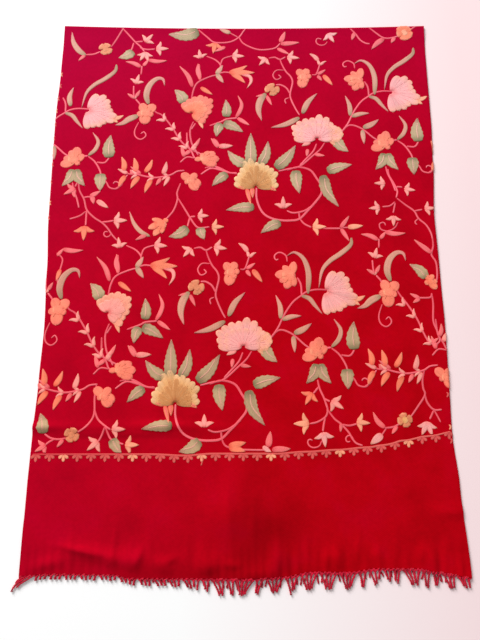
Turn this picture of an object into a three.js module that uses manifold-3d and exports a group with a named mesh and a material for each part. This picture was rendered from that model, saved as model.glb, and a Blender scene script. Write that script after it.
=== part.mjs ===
// A pashmina stole, folded once across its middle and laid flat on a table.
//
// One long rectangle of fine wool is folded in half crosswise, so it lies as two layers: the upper
// layer, which rolls round the fold and tucks in below it, and the under layer, which rests on the
// table. Both ends of the cloth meet at the near side, and each ends in a fringe of its own warp
// threads. Millimetres, +Z up. The fold lies at +Y and the fringe at -Y, and the origin is the
// middle of the whole piece at table height.
//
// A place on the cloth is given as x, from its middle line, and t, its distance from the fold.
import * as THREE from "three";
import { mergeVertices } from "three/addons/utils/BufferGeometryUtils.js";
import Module from "manifold-3d";

const wasm = await Module();
wasm.setup();

// Driving sizes
const LAYER_LENGTH = 988; // fold to woven end, half of the cloth
const CLOTH = 1.2; // thickness of one layer
const SEAM_GAP = 0.3; // air between neighbouring pieces
const FOLD_RADIUS = 2; // outside radius of the roll at the fold
const FOLD_RISE = 14; // how fast the upper layer swells towards the fold
const TUCK = 12; // how far the fold reaches back under
const FOLD_BOW = 6; // the fold's middle lies this far behind its corners
const FOLD_BOW_REACH = 160; // distance over which that bow dies out
const SIDE_ROLL = 9; // width of the long edges that roll down to the table
const SIDE_ROLL_START = { from: 14, to: 60 }; // the roll grows here, away from the fold
const SIDE_ROLL_END = { from: 880, to: 930 }; // and opens here, towards the woven end
const OPEN_EDGE = { from: 930, to: 960 }; // the under layer widens here, past the roll
const UNDER_LAYER = {
  inset: 10, // it is this much narrower a side than the upper one
  openInset: 1.5, // and only this much where the edges lie open
  short: 3, // it ends this much before the upper one
  rows: 9,
  columns: 20,
};

const COLUMNS = 26; // cells across the cloth
const EDGE_COLUMNS = [0, 3, 8]; // distances of the close rows at each long edge

// The cloth's outline: distances of its left and right edges from the middle line.
const OUTLINE = [
  { t: 0, left: 350, right: 351 },
  { t: 100, left: 351, right: 350 },
  { t: 200, left: 354, right: 350 },
  { t: 300, left: 353, right: 347 },
  { t: 400, left: 352, right: 341 },
  { t: 500, left: 347, right: 343 },
  { t: 600, left: 344, right: 344 },
  { t: 700, left: 346, right: 342 },
  { t: 780, left: 349, right: 341 },
  { t: 860, left: 351, right: 346 },
  { t: 988, left: 352, right: 352 },
];

// How far the woven end dips past the layer's length across the cloth, and where that starts.
const END_DIP = [
  { x: -352, out: 8 },
  { x: -300, out: 5 },
  { x: -205, out: 6 },
  { x: -180, out: 11 },
  { x: 0, out: 12 },
  { x: 60, out: 9 },
  { x: 105, out: 2 },
  { x: 165, out: 2 },
  { x: 205, out: -3 },
  { x: 270, out: -3 },
  { x: 300, out: 2 },
  { x: 352, out: 10 },
];
const END_DIP_FROM = 860;

// Soft folds that lift the upper layer: the middle of each, its half length and half width, its
// height, and its turn from straight across the cloth in degrees.
const FOLDS = [
  // the crosswise crease above the border
  { x: -345, t: 768, long: 46, wide: 7, lift: 3.6, turn: 0 },
  { x: -240, t: 769, long: 60, wide: 8, lift: 1.6, turn: 1 },
  { x: -136, t: 767, long: 38, wide: 8, lift: 4.0, turn: 0 },
  { x: -48, t: 769, long: 44, wide: 9, lift: 1.6, turn: -1 },
  // broad swells in the plain end
  { x: 0, t: 904, long: 92, wide: 30, lift: 4.6, turn: 2 },
  { x: -14, t: 862, long: 48, wide: 22, lift: 2.6, turn: 84 },
  { x: 215, t: 900, long: 70, wide: 34, lift: 1.8, turn: -40 },
  { x: 335, t: 898, long: 34, wide: 9, lift: 2.4, turn: 4 },
  { x: -190, t: 896, long: 90, wide: 30, lift: 1.8, turn: -4 },
  // humps along the woven end
  { x: -308, t: 972, long: 26, wide: 10, lift: 3.4, turn: 8 },
  { x: -240, t: 957, long: 38, wide: 11, lift: 5.6, turn: -11 },
  { x: -180, t: 962, long: 17, wide: 13, lift: 5.6, turn: -18 },
  { x: -128, t: 970, long: 18, wide: 9, lift: 4.2, turn: -34 },
  { x: -58, t: 970, long: 14, wide: 12, lift: 6.0, turn: 0 },
  { x: 18, t: 981, long: 26, wide: 10, lift: 3.4, turn: 0 },
  { x: 48, t: 968, long: 24, wide: 9, lift: 4.4, turn: 82 },
  { x: 143, t: 966, long: 20, wide: 9, lift: 4.0, turn: 84 },
  { x: 290, t: 968, long: 20, wide: 10, lift: 4.0, turn: 96 },
  // slow waves of the embroidered field
  { x: -200, t: 150, long: 150, wide: 60, lift: 1.2, turn: 30 },
  { x: 190, t: 330, long: 160, wide: 60, lift: 1.4, turn: -24 },
  { x: -120, t: 520, long: 150, wide: 55, lift: 1.2, turn: 14 },
  { x: 230, t: 640, long: 120, wide: 50, lift: 1.2, turn: -12 },
];

// Small flutes that the fringe pulls into the woven end.
const FLUTE = { pitch: 21, lift: 1.1, start: 944, full: 984, fromX: 20, fullX: 70 };

// Rows of the upper layer, from the woven end to the fold. The first band has twice the columns.
const CLOSE_BAND = { from: 988, to: 940, step: 8 };
const BANDS = [
  { from: 920, to: 840, step: 20 },
  { from: 806, to: 790, step: 16 },
  { from: 782, to: 758, step: 6 },
  { from: 744, to: 744, step: 1 },
  { from: 690, to: 60, step: 90 },
  { from: 30, to: 30, step: 1 },
  { from: 15, to: 7, step: 8 },
];
const ROLL_STEPS = 5; // facets round the fold
const SLOPE_STEP = 0.5; // half the distance over which a slope is read

// The fringe. Reach is how far it comes out of the cloth's end, and lean how far its tips swing
// towards +X.
const FRINGE = [
  { x: -352, reach: 18, lean: -19 },
  { x: -334, reach: 16, lean: -13 },
  { x: -322, reach: 8, lean: -2 },
  { x: -205, reach: 8, lean: 1 },
  { x: -130, reach: 14, lean: 3 },
  { x: -80, reach: 14, lean: 2 },
  { x: -40, reach: 25, lean: 4 },
  { x: 10, reach: 21, lean: -2 },
  { x: 98, reach: 26, lean: -2 },
  { x: 190, reach: 22, lean: 1 },
  { x: 215, reach: 15, lean: 1 },
  { x: 250, reach: 20, lean: 1 },
  { x: 292, reach: 21, lean: 1 },
  { x: 352, reach: 12, lean: 4 },
];
const STRIP = 3; // width of the band that holds the strands
const STRAND = {
  sides: 3,
  steps: 3,
  base: 0.5, // its flat side lies this share of its radius below its middle
  settled: 0.45, // it has come down after this share of its length
  root: 0.6, // thickness of the root and of the tip, to the rest
  tip: 0.55,
  vary: 0.14, // play of its length, to its reach
};
const UNDER_FRINGE = { strands: 96, radius: 0.75, floor: 0.15, share: 0.72, inset: 1.5, seed: 7 };
const UPPER_FRINGE = { strands: 104, radius: 0.85, floor: 1.45, share: 1, inset: 1, seed: 1 };
const BUNCH = {
  least: 2,
  most: 4,
  squeeze: 0.45, // its strands close up to this share of their spacing
  swing: 3, // sideways play of its tips
  longReach: 20, // shorter strands close up and swing less
};

const REST_HEIGHT = CLOTH + SEAM_GAP + CLOTH / 2; // middle of the upper layer where it lies flat
const CREST_HEIGHT = 2 * FOLD_RADIUS - CLOTH / 2; // middle of the upper layer at the fold

const smooth = (from, to, value) => THREE.MathUtils.smoothstep(value, from, to);

// The value of a table's column at a place between its rows, eased from row to row.
function between(table, key, column, at) {
  let i = 0;
  while (i < table.length - 2 && at > table[i + 1][key]) i += 1;
  const [low, high] = [table[i], table[i + 1]];
  const share = smooth(low[key], high[key], at);
  return THREE.MathUtils.lerp(low[column], high[column], share);
}

// A repeatable number from 0 to 1 for the given strand and use.
function chance(index, use) {
  const wave = Math.sin(index * 127.1 + use * 311.7) * 43758.5453;
  return wave - Math.floor(wave);
}

const signedChance = (index, use) => 2 * chance(index, use) - 1;

// How far the folds lift the cloth at a place.
function relief(x, t) {
  let height = 0;
  for (const fold of FOLDS) {
    const turn = THREE.MathUtils.degToRad(fold.turn);
    const dx = x - fold.x;
    const dt = t - fold.t;
    const along = (dx * Math.cos(turn) - dt * Math.sin(turn)) / fold.long;
    const across = (dx * Math.sin(turn) + dt * Math.cos(turn)) / fold.wide;
    height += fold.lift * Math.exp(-along * along - across * across);
  }
  const wave = 0.5 + 0.5 * Math.cos((2 * Math.PI * x) / FLUTE.pitch);
  const nearEnd = smooth(FLUTE.start, FLUTE.full, t);
  height += FLUTE.lift * wave * nearEnd * smooth(FLUTE.fromX, FLUTE.fullX, x);
  return height;
}

// The middle of the upper layer at a place, before it rolls over at the fold.
function upperPoint(x, t) {
  const left = between(OUTLINE, "t", "left", t);
  const right = between(OUTLINE, "t", "right", t);
  const fromEdge = Math.max(0, Math.min(x + left, right - x));
  const rolled = smooth(SIDE_ROLL_START.from, SIDE_ROLL_START.to, t)
    * (1 - smooth(SIDE_ROLL_END.from, SIDE_ROLL_END.to, t))
    * Math.max(0, 1 - fromEdge / SIDE_ROLL) ** 2;
  const drop = (REST_HEIGHT - CLOTH / 2 - SEAM_GAP / 2) * rolled;
  const swell = (CREST_HEIGHT - REST_HEIGHT) * Math.exp(-((t - FOLD_RADIUS) / FOLD_RISE));
  const z = REST_HEIGHT + relief(x, t) - drop + swell * (1 - rolled);
  return new THREE.Vector3(x, groundY(x, t), z);
}

// Where a place of the cloth lies along the table, with the fold's bow and the end's dips.
function groundY(x, t) {
  const share = x / OUTLINE[0].left;
  const bow = FOLD_BOW * (1 - share * share) * (1 - smooth(0, FOLD_BOW_REACH, t));
  const dip = between(END_DIP, "x", "out", x) * smooth(END_DIP_FROM, LAYER_LENGTH, t);
  return -t - bow - dip;
}

// The places across a row, from the left edge to the right one, with close ones at the edges.
function across(t, inset, cells) {
  const left = -between(OUTLINE, "t", "left", t) + inset;
  const right = between(OUTLINE, "t", "right", t) - inset;
  const near = EDGE_COLUMNS.map((d) => left + d);
  const far = EDGE_COLUMNS.map((d) => right - d).reverse();
  const inner = EDGE_COLUMNS[EDGE_COLUMNS.length - 1];
  const places = [];
  for (let i = 1; i < cells; i += 1) {
    places.push(THREE.MathUtils.lerp(left + inner, right - inner, i / cells));
  }
  return [...near, ...places, ...far];
}

function stations({ from, to, step }) {
  const list = [];
  for (let t = from; t >= to; t -= step) list.push(t);
  return list;
}

// A row of the upper layer: its middle points and the way its outer face looks.
function upperRow(t, cells) {
  const d = SLOPE_STEP;
  return across(t, 0, cells).map((x) => {
    const alongX = upperPoint(x + d, t).sub(upperPoint(x - d, t));
    const alongT = upperPoint(x, t - d).sub(upperPoint(x, t + d));
    return { middle: upperPoint(x, t), normal: alongX.cross(alongT).normalize() };
  });
}

// The rows that carry the upper layer round the fold and back under it.
function rollRows(cells) {
  const rows = [];
  const radius = FOLD_RADIUS - CLOTH / 2;
  const places = across(FOLD_RADIUS, 0, cells);
  for (let i = 0; i <= ROLL_STEPS; i += 1) {
    const angle = (Math.PI * i) / ROLL_STEPS;
    const normal = new THREE.Vector3(0, Math.sin(angle), Math.cos(angle));
    rows.push(places.map((x) => rollPoint(x, normal, radius, 0)));
  }
  const down = new THREE.Vector3(0, 0, -1);
  rows.push(places.map((x) => rollPoint(x, down, radius, TUCK)));
  return rows;
}

// A point of the roll.
function rollPoint(x, normal, radius, back) {
  const { y } = upperPoint(x, FOLD_RADIUS);
  const middle = new THREE.Vector3(x, y - back, FOLD_RADIUS).addScaledVector(normal, radius);
  return { middle, normal };
}

// A closed wall of the given thickness about rows of middle points. Neighbouring rows have the
// same number of points, or the nearer one has one more between every two of the inner ones.
function wall(rows, thickness) {
  const outer = [];
  const inner = [];
  const points = [];
  for (const row of rows) {
    outer.push(row.map((place) => addPoint(points, place, thickness / 2)));
    inner.push(row.map((place) => addPoint(points, place, -thickness / 2)));
  }
  const faces = [];
  for (let r = 0; r + 1 < rows.length; r += 1) {
    stitch(faces, outer[r], outer[r + 1], false);
    stitch(faces, inner[r], inner[r + 1], true);
    const end = outer[r].length - 1;
    const nextEnd = outer[r + 1].length - 1;
    quad(faces, inner[r][0], outer[r][0], outer[r + 1][0], inner[r + 1][0]);
    quad(faces, outer[r][end], inner[r][end], inner[r + 1][nextEnd], outer[r + 1][nextEnd]);
  }
  const last = rows.length - 1;
  for (let i = 0; i + 1 < rows[0].length; i += 1) {
    quad(faces, inner[0][i], inner[0][i + 1], outer[0][i + 1], outer[0][i]);
  }
  for (let i = 0; i + 1 < rows[last].length; i += 1) {
    quad(faces, outer[last][i], outer[last][i + 1], inner[last][i + 1], inner[last][i]);
  }
  return closedGeometry(points, faces);
}

function addPoint(points, place, offset) {
  points.push(place.middle.clone().addScaledVector(place.normal, offset));
  return points.length - 1;
}

function quad(faces, a, b, c, d) {
  faces.push([a, b, c], [a, c, d]);
}

// Joins a row to the next one, which has as many points or half as many inner cells.
function stitch(faces, row, next, flipped) {
  const put = (a, b, c) => faces.push(flipped ? [a, c, b] : [a, b, c]);
  const edge = EDGE_COLUMNS.length - 1;
  let i = 0;
  for (let j = 0; j + 1 < next.length; j += 1) {
    const isInner = j >= edge && j < next.length - 1 - edge;
    if (row.length > next.length && isInner) {
      put(row[i], row[i + 1], next[j]);
      put(row[i + 1], next[j + 1], next[j]);
      put(row[i + 1], row[i + 2], next[j + 1]);
      i += 2;
    } else {
      put(row[i], row[i + 1], next[j]);
      put(row[i + 1], next[j + 1], next[j]);
      i += 1;
    }
  }
}

function closedGeometry(points, faces) {
  const geometry = new THREE.BufferGeometry().setFromPoints(points);
  geometry.setIndex(faces.flat());
  return geometry;
}

// The upper layer: the shown half of the cloth, the roll at the fold and the tuck below it.
function upperLayer() {
  const rows = stations(CLOSE_BAND).map((t) => upperRow(t, COLUMNS * 2));
  for (const band of BANDS) {
    rows.push(...stations(band).map((t) => upperRow(t, COLUMNS)));
  }
  rows.push(...rollRows(COLUMNS));
  return wall(rows, CLOTH);
}

// The under layer, flat on the table from the tuck to its own woven end.
function underLayer() {
  const start = FOLD_RADIUS + TUCK + SEAM_GAP;
  const end = LAYER_LENGTH - UNDER_LAYER.short;
  const up = new THREE.Vector3(0, 0, 1);
  const rows = [];
  for (let i = 0; i <= UNDER_LAYER.rows; i += 1) {
    const t = THREE.MathUtils.lerp(end, start, i / UNDER_LAYER.rows);
    const open = smooth(OPEN_EDGE.from, OPEN_EDGE.to, t);
    const inset = THREE.MathUtils.lerp(UNDER_LAYER.inset, UNDER_LAYER.openInset, open);
    const meetsTuck = i === UNDER_LAYER.rows;
    rows.push(across(t, inset, UNDER_LAYER.columns).map((x) => {
      const y = meetsTuck ? groundY(x, FOLD_RADIUS) + FOLD_RADIUS - start : groundY(x, t);
      return { middle: new THREE.Vector3(x, y, CLOTH / 2), normal: up };
    }));
  }
  return wall(rows, CLOTH);
}

// Where a strand starts, where its tip lies and how long it is.
function strandPath(fringe, index) {
  const { left, right } = OUTLINE.at(-1);
  const start = fringe.inset - left;
  const pitch = (left + right - 2 * fringe.inset) / fringe.strands;
  const rootX = start + (index + 0.5) * pitch;
  const bunch = bunchOf(fringe, index);
  const bunchX = start + bunch.middle * pitch;
  const reach = between(FRINGE, "x", "reach", rootX) * fringe.share;
  const length = reach * (1 + STRAND.vary * signedChance(index, fringe.seed));
  const loose = Math.min(1, reach / BUNCH.longReach);
  const swing = BUNCH.swing * loose * signedChance(bunch.first, fringe.seed + 1);
  const squeeze = THREE.MathUtils.lerp(1, BUNCH.squeeze, loose);
  const lean = between(FRINGE, "x", "lean", bunchX) * fringe.share;
  const tipX = bunchX + (rootX - bunchX) * squeeze + swing + lean;
  return { rootX, tipX, length };
}

// The bunch of strands that a strand belongs to.
function bunchOf(fringe, index) {
  const sizes = BUNCH.most - BUNCH.least + 1;
  let first = 0;
  let count = 0;
  while (first + count <= index) {
    first += count;
    count = BUNCH.least + Math.floor(sizes * chance(first, fringe.seed + 2));
  }
  const last = Math.min(first + count, fringe.strands);
  return { first, middle: (first + last) / 2 };
}

// One strand: it starts inside the strip, comes down from it and lies level, bending to its tip.
function strand(fringe, index, near, heightAt) {
  const { rootX, tipX, length } = strandPath(fringe, index);
  const rootY = groundY(rootX, LAYER_LENGTH) - near - STRIP / 2;
  const lying = fringe.floor + STRAND.base * fringe.radius;
  const points = [];
  for (let i = 0; i <= STRAND.steps; i += 1) {
    const share = i / STRAND.steps;
    const settle = smooth(0, STRAND.settled, share);
    points.push(new THREE.Vector3(
      THREE.MathUtils.lerp(rootX, tipX, smooth(0, 1, share)),
      rootY - (length + STRIP / 2) * share,
      THREE.MathUtils.lerp(heightAt(rootX), lying, settle),
    ));
  }
  return lock(points, fringe.radius);
}

// A lock of yarn along points: a ring of corners at each, thinner at the root and at the tip.
function lock(points, radius) {
  const { sides } = STRAND;
  const corners = [];
  const faces = [];
  const steps = points.length - 1;
  points.forEach((point, i) => {
    const ahead = points[Math.min(steps, i + 1)].clone().sub(points[Math.max(0, i - 1)]);
    const side = new THREE.Vector3(-ahead.y, ahead.x, 0).normalize();
    const up = ahead.clone().cross(side).normalize();
    const share = { 0: STRAND.root, [steps]: STRAND.tip }[i] ?? 1;
    for (let k = 0; k < sides; k += 1) {
      const angle = Math.PI / 2 + (2 * Math.PI * k) / sides;
      corners.push(point.clone()
        .addScaledVector(side, radius * share * Math.cos(angle))
        .addScaledVector(up, radius * share * Math.sin(angle)));
    }
  });
  for (let i = 0; i < steps; i += 1) {
    for (let k = 0; k < sides; k += 1) {
      const a = i * sides + k;
      const b = i * sides + ((k + 1) % sides);
      quad(faces, a, b, b + sides, a + sides);
    }
  }
  const top = steps * sides;
  for (let k = 1; k + 1 < sides; k += 1) {
    faces.push([0, k + 1, k], [top, top + k, top + k + 1]);
  }
  return closedGeometry(corners, faces);
}

// A solid for joining. A geometry that came out inside out is turned round.
function solid(geometry) {
  const bare = new THREE.BufferGeometry();
  bare.setAttribute("position", geometry.getAttribute("position"));
  bare.setIndex(geometry.index);
  const merged = mergeVertices(bare, 1e-4);
  const triVerts = new Uint32Array(merged.index.array);
  const vertProperties = merged.attributes.position.array;
  const made = new wasm.Manifold(new wasm.Mesh({ numProp: 3, vertProperties, triVerts }));
  if (made.volume() > 0) return made;
  for (let i = 0; i < triVerts.length; i += 3) {
    [triVerts[i + 1], triVerts[i + 2]] = [triVerts[i + 2], triVerts[i + 1]];
  }
  return new wasm.Manifold(new wasm.Mesh({ numProp: 3, vertProperties, triVerts }));
}

function geometryOf(manifold) {
  const mesh = manifold.getMesh();
  const geometry = new THREE.BufferGeometry();
  geometry.setAttribute("position", new THREE.BufferAttribute(mesh.vertProperties, 3));
  geometry.setIndex(new THREE.BufferAttribute(mesh.triVerts, 1));
  return geometry;
}

// A fringe: a narrow strip that lies off a layer's woven end by the seam's gap, with the strands
// grown out of it. The strip has the layer's cells, and the layer ends short by the given measure.
function fringeOf(fringe, cells, short, heightAt) {
  const near = SEAM_GAP - short;
  const up = new THREE.Vector3(0, 0, 1);
  const places = across(LAYER_LENGTH, fringe.inset, cells);
  const strip = [near + STRIP, near].map((out) => places.map((x) => {
    const y = groundY(x, LAYER_LENGTH) - out;
    return { middle: new THREE.Vector3(x, y, heightAt(x)), normal: up };
  }));
  let whole = solid(wall(strip, CLOTH));
  for (let i = 0; i < fringe.strands; i += 1) {
    whole = whole.add(solid(strand(fringe, i, near, heightAt)));
  }
  return geometryOf(whole);
}

const upperEndHeight = (x) => upperPoint(x, LAYER_LENGTH).z;
const underEndHeight = () => UNDER_FRINGE.floor + CLOTH / 2;

const wool = new THREE.MeshStandardMaterial({ color: 0xb80a26, roughness: 0.9, metalness: 0 });
const shadedWool = new THREE.MeshStandardMaterial({ color: 0xa80822, roughness: 0.92, metalness: 0 });
const yarn = new THREE.MeshStandardMaterial({ color: 0xb00a30, roughness: 0.85, metalness: 0 });

function piece(name, geometry, material) {
  const mesh = new THREE.Mesh(geometry, material);
  mesh.name = name;
  return mesh;
}

const stole = new THREE.Group();
stole.add(
  piece("upper_layer", upperLayer(), wool),
  piece("under_layer", underLayer(), shadedWool),
  piece("upper_fringe", fringeOf(UPPER_FRINGE, COLUMNS * 2, 0, upperEndHeight), yarn),
  piece("under_fringe",
    fringeOf(UNDER_FRINGE, UNDER_LAYER.columns, UNDER_LAYER.short, underEndHeight), yarn),
);

// The origin is the middle of the whole piece, on the table.
const extent = new THREE.Box3().setFromObject(stole, true);
const middle = extent.getCenter(new THREE.Vector3());
stole.position.set(-middle.x, -middle.y, 0);

export default stole;
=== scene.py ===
"""A pashmina stole, folded once and laid flat: cloth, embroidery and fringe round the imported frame.

Sizes in this file are millimetres and Blender's are metres. A place on the cloth is (x, t): x from
the cloth's middle line, and t from the fold along the cloth to the woven end. The top layer has t
over zero. Round the fold, t runs on below zero over the layer that lies on the table.
"""

from __future__ import annotations

import logging
import math
from dataclasses import dataclass, field, replace
from enum import Enum

import bpy
import numpy as np
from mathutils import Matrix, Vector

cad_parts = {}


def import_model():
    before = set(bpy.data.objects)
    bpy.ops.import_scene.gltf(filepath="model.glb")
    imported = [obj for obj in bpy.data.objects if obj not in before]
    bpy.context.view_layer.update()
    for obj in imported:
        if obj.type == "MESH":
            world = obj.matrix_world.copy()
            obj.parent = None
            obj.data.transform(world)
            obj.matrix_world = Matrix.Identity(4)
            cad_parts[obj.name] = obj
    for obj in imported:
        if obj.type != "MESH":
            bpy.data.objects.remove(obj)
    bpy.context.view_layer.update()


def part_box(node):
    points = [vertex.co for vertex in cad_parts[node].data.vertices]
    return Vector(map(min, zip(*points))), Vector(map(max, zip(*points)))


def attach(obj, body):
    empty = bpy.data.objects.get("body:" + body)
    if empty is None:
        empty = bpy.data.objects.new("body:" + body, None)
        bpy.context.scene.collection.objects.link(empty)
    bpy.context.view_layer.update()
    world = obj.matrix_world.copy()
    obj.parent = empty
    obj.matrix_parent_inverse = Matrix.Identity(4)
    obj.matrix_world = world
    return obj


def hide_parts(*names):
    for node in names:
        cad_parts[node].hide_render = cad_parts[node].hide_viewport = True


LOG = logging.getLogger("stole")
MM = 0.001
ROOT = "root"

Array = np.ndarray
Row = tuple[float, ...]
Span = tuple[float, float]
Spot = tuple[float, float, float]
Place = Span  # (x, t) on the cloth
Path = tuple[Place, ...]
Copy = tuple[int, int]  # of the pattern, counted along its two repeats
Socket = bpy.types.NodeSocket
Tree = bpy.types.NodeTree


# ---------------- numbers


def smooth(low: float, high: float, value: Array) -> Array:
    """Ease from 0 at low to 1 at high: 3 f squared minus 2 f cubed, with f the clipped share.

    Args:
        low: where the ease starts.
        high: where it ends.
        value: the places.

    Returns:
        The eased share at each place.
    """
    share = np.clip((np.asarray(value, float) - low) / (high - low), 0.0, 1.0)
    return share * share * (3.0 - 2.0 * share)


def between(keys: Row, values: Row, at: Array) -> Array:
    """Read a short table, easing from each row to the next.

    Args:
        keys: the rows' places, growing.
        values: the rows' values.
        at: the places to read.

    Returns:
        The value at each place.
    """
    keys, values, at = (np.asarray(given, float) for given in (keys, values, at))
    row = np.clip(np.searchsorted(keys, at, side="left") - 1, 0, len(keys) - 2)
    share = np.clip((at - keys[row]) / (keys[row + 1] - keys[row]), 0.0, 1.0)
    share = share * share * (3.0 - 2.0 * share)
    return values[row] + (values[row + 1] - values[row]) * share


def chance(index: Array | float, use: float) -> Array:
    """A repeatable number from 0 to 1: the fraction of a large sine of the index and the use."""
    wave = np.sin(np.asarray(index, float) * 127.1 + use * 311.7) * 43758.5453
    return wave - np.floor(wave)


def signed_chance(index: Array | float, use: float) -> Array:
    """A repeatable number from -1 to 1."""
    return 2.0 * chance(index, use) - 1.0


def linear(hex_value: str) -> Array:
    """Turn an sRGB hex colour to linear RGB.

    Args:
        hex_value: six hex digits.

    Returns:
        Three linear values.
    """
    raw = np.array([int(hex_value[i : i + 2], 16) for i in (0, 2, 4)]) / 255.0
    return np.where(raw <= 0.04045, raw / 12.92, ((raw + 0.055) / 1.055) ** 2.4)


# ---------------- the cloth's form


@dataclass(frozen=True)
class Fold:
    """A soft fold that lifts the top layer: a bell of height over an ellipse, turned by degrees."""

    x: float
    t: float
    long: float
    wide: float
    lift: float
    turn: float

    def height(self, x: Array, t: Array) -> Array:
        """Height at places: lift times e to the minus squared distance in the ellipse's axes."""
        turn = math.radians(self.turn)
        dx, dt = x - self.x, t - self.t
        along = (dx * math.cos(turn) - dt * math.sin(turn)) / self.long
        across = (dx * math.sin(turn) + dt * math.cos(turn)) / self.wide
        return self.lift * np.exp(-along * along - across * across)


# The crosswise crease above the border, the swells of the plain end, the humps of its woven edge
# and the slow waves of the embroidered field.
FOLDS = (
    Fold(-345, 768, 46, 7, 3.6, 0),
    Fold(-240, 769, 60, 8, 1.6, 1),
    Fold(-136, 767, 38, 8, 4.0, 0),
    Fold(-48, 769, 44, 9, 1.6, -1),
    Fold(0, 904, 92, 30, 4.6, 2),
    Fold(-14, 862, 48, 22, 2.6, 84),
    Fold(215, 900, 70, 34, 1.8, -40),
    Fold(335, 898, 34, 9, 2.4, 4),
    Fold(-190, 896, 90, 30, 1.8, -4),
    Fold(-308, 972, 26, 10, 3.4, 8),
    Fold(-240, 957, 38, 11, 5.6, -11),
    Fold(-180, 962, 17, 13, 5.6, -18),
    Fold(-128, 970, 18, 9, 4.2, -34),
    Fold(-58, 970, 14, 12, 6.0, 0),
    Fold(18, 981, 26, 10, 3.4, 0),
    Fold(48, 968, 24, 9, 4.4, 82),
    Fold(143, 966, 20, 9, 4.0, 84),
    Fold(290, 968, 20, 10, 4.0, 96),
    Fold(-200, 150, 150, 60, 1.2, 30),
    Fold(190, 330, 160, 60, 1.4, -24),
    Fold(-120, 520, 150, 55, 1.2, 14),
    Fold(230, 640, 120, 50, 1.2, -12),
)

# Short creases that run along the cloth in the plain end, too fine for the frame.
CREASES = (
    Fold(-26, 892, 8, 44, 1.7, 3),
    Fold(14, 905, 7, 36, 1.3, -4),
    Fold(52, 930, 6, 26, 1.0, 6),
    Fold(-272, 945, 5, 20, 1.4, 8),
    Fold(-206, 942, 5, 24, 1.6, -6),
    Fold(-150, 948, 5, 18, 1.3, 4),
    Fold(-92, 950, 6, 20, 1.2, -5),
    Fold(98, 955, 5, 20, 1.3, 5),
    Fold(178, 950, 5, 22, 1.3, -4),
    Fold(238, 948, 6, 24, 1.1, 6),
    Fold(318, 950, 5, 18, 1.2, -5),
    Fold(-256, 953, 34, 5, 2.6, -9),
    Fold(-208, 966, 9, 11, 2.8, 24),
    Fold(-166, 958, 6, 14, 3.0, -22),
    Fold(-118, 962, 10, 6, 2.4, 12),
    Fold(-66, 956, 7, 12, 2.4, 16),
    Fold(-20, 968, 14, 6, 2.4, -6),
    Fold(60, 962, 6, 14, 2.2, 8),
    Fold(128, 968, 6, 12, 2.2, -8),
    Fold(206, 966, 7, 12, 2.0, 6),
    Fold(276, 964, 6, 14, 2.2, -6),
)


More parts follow.
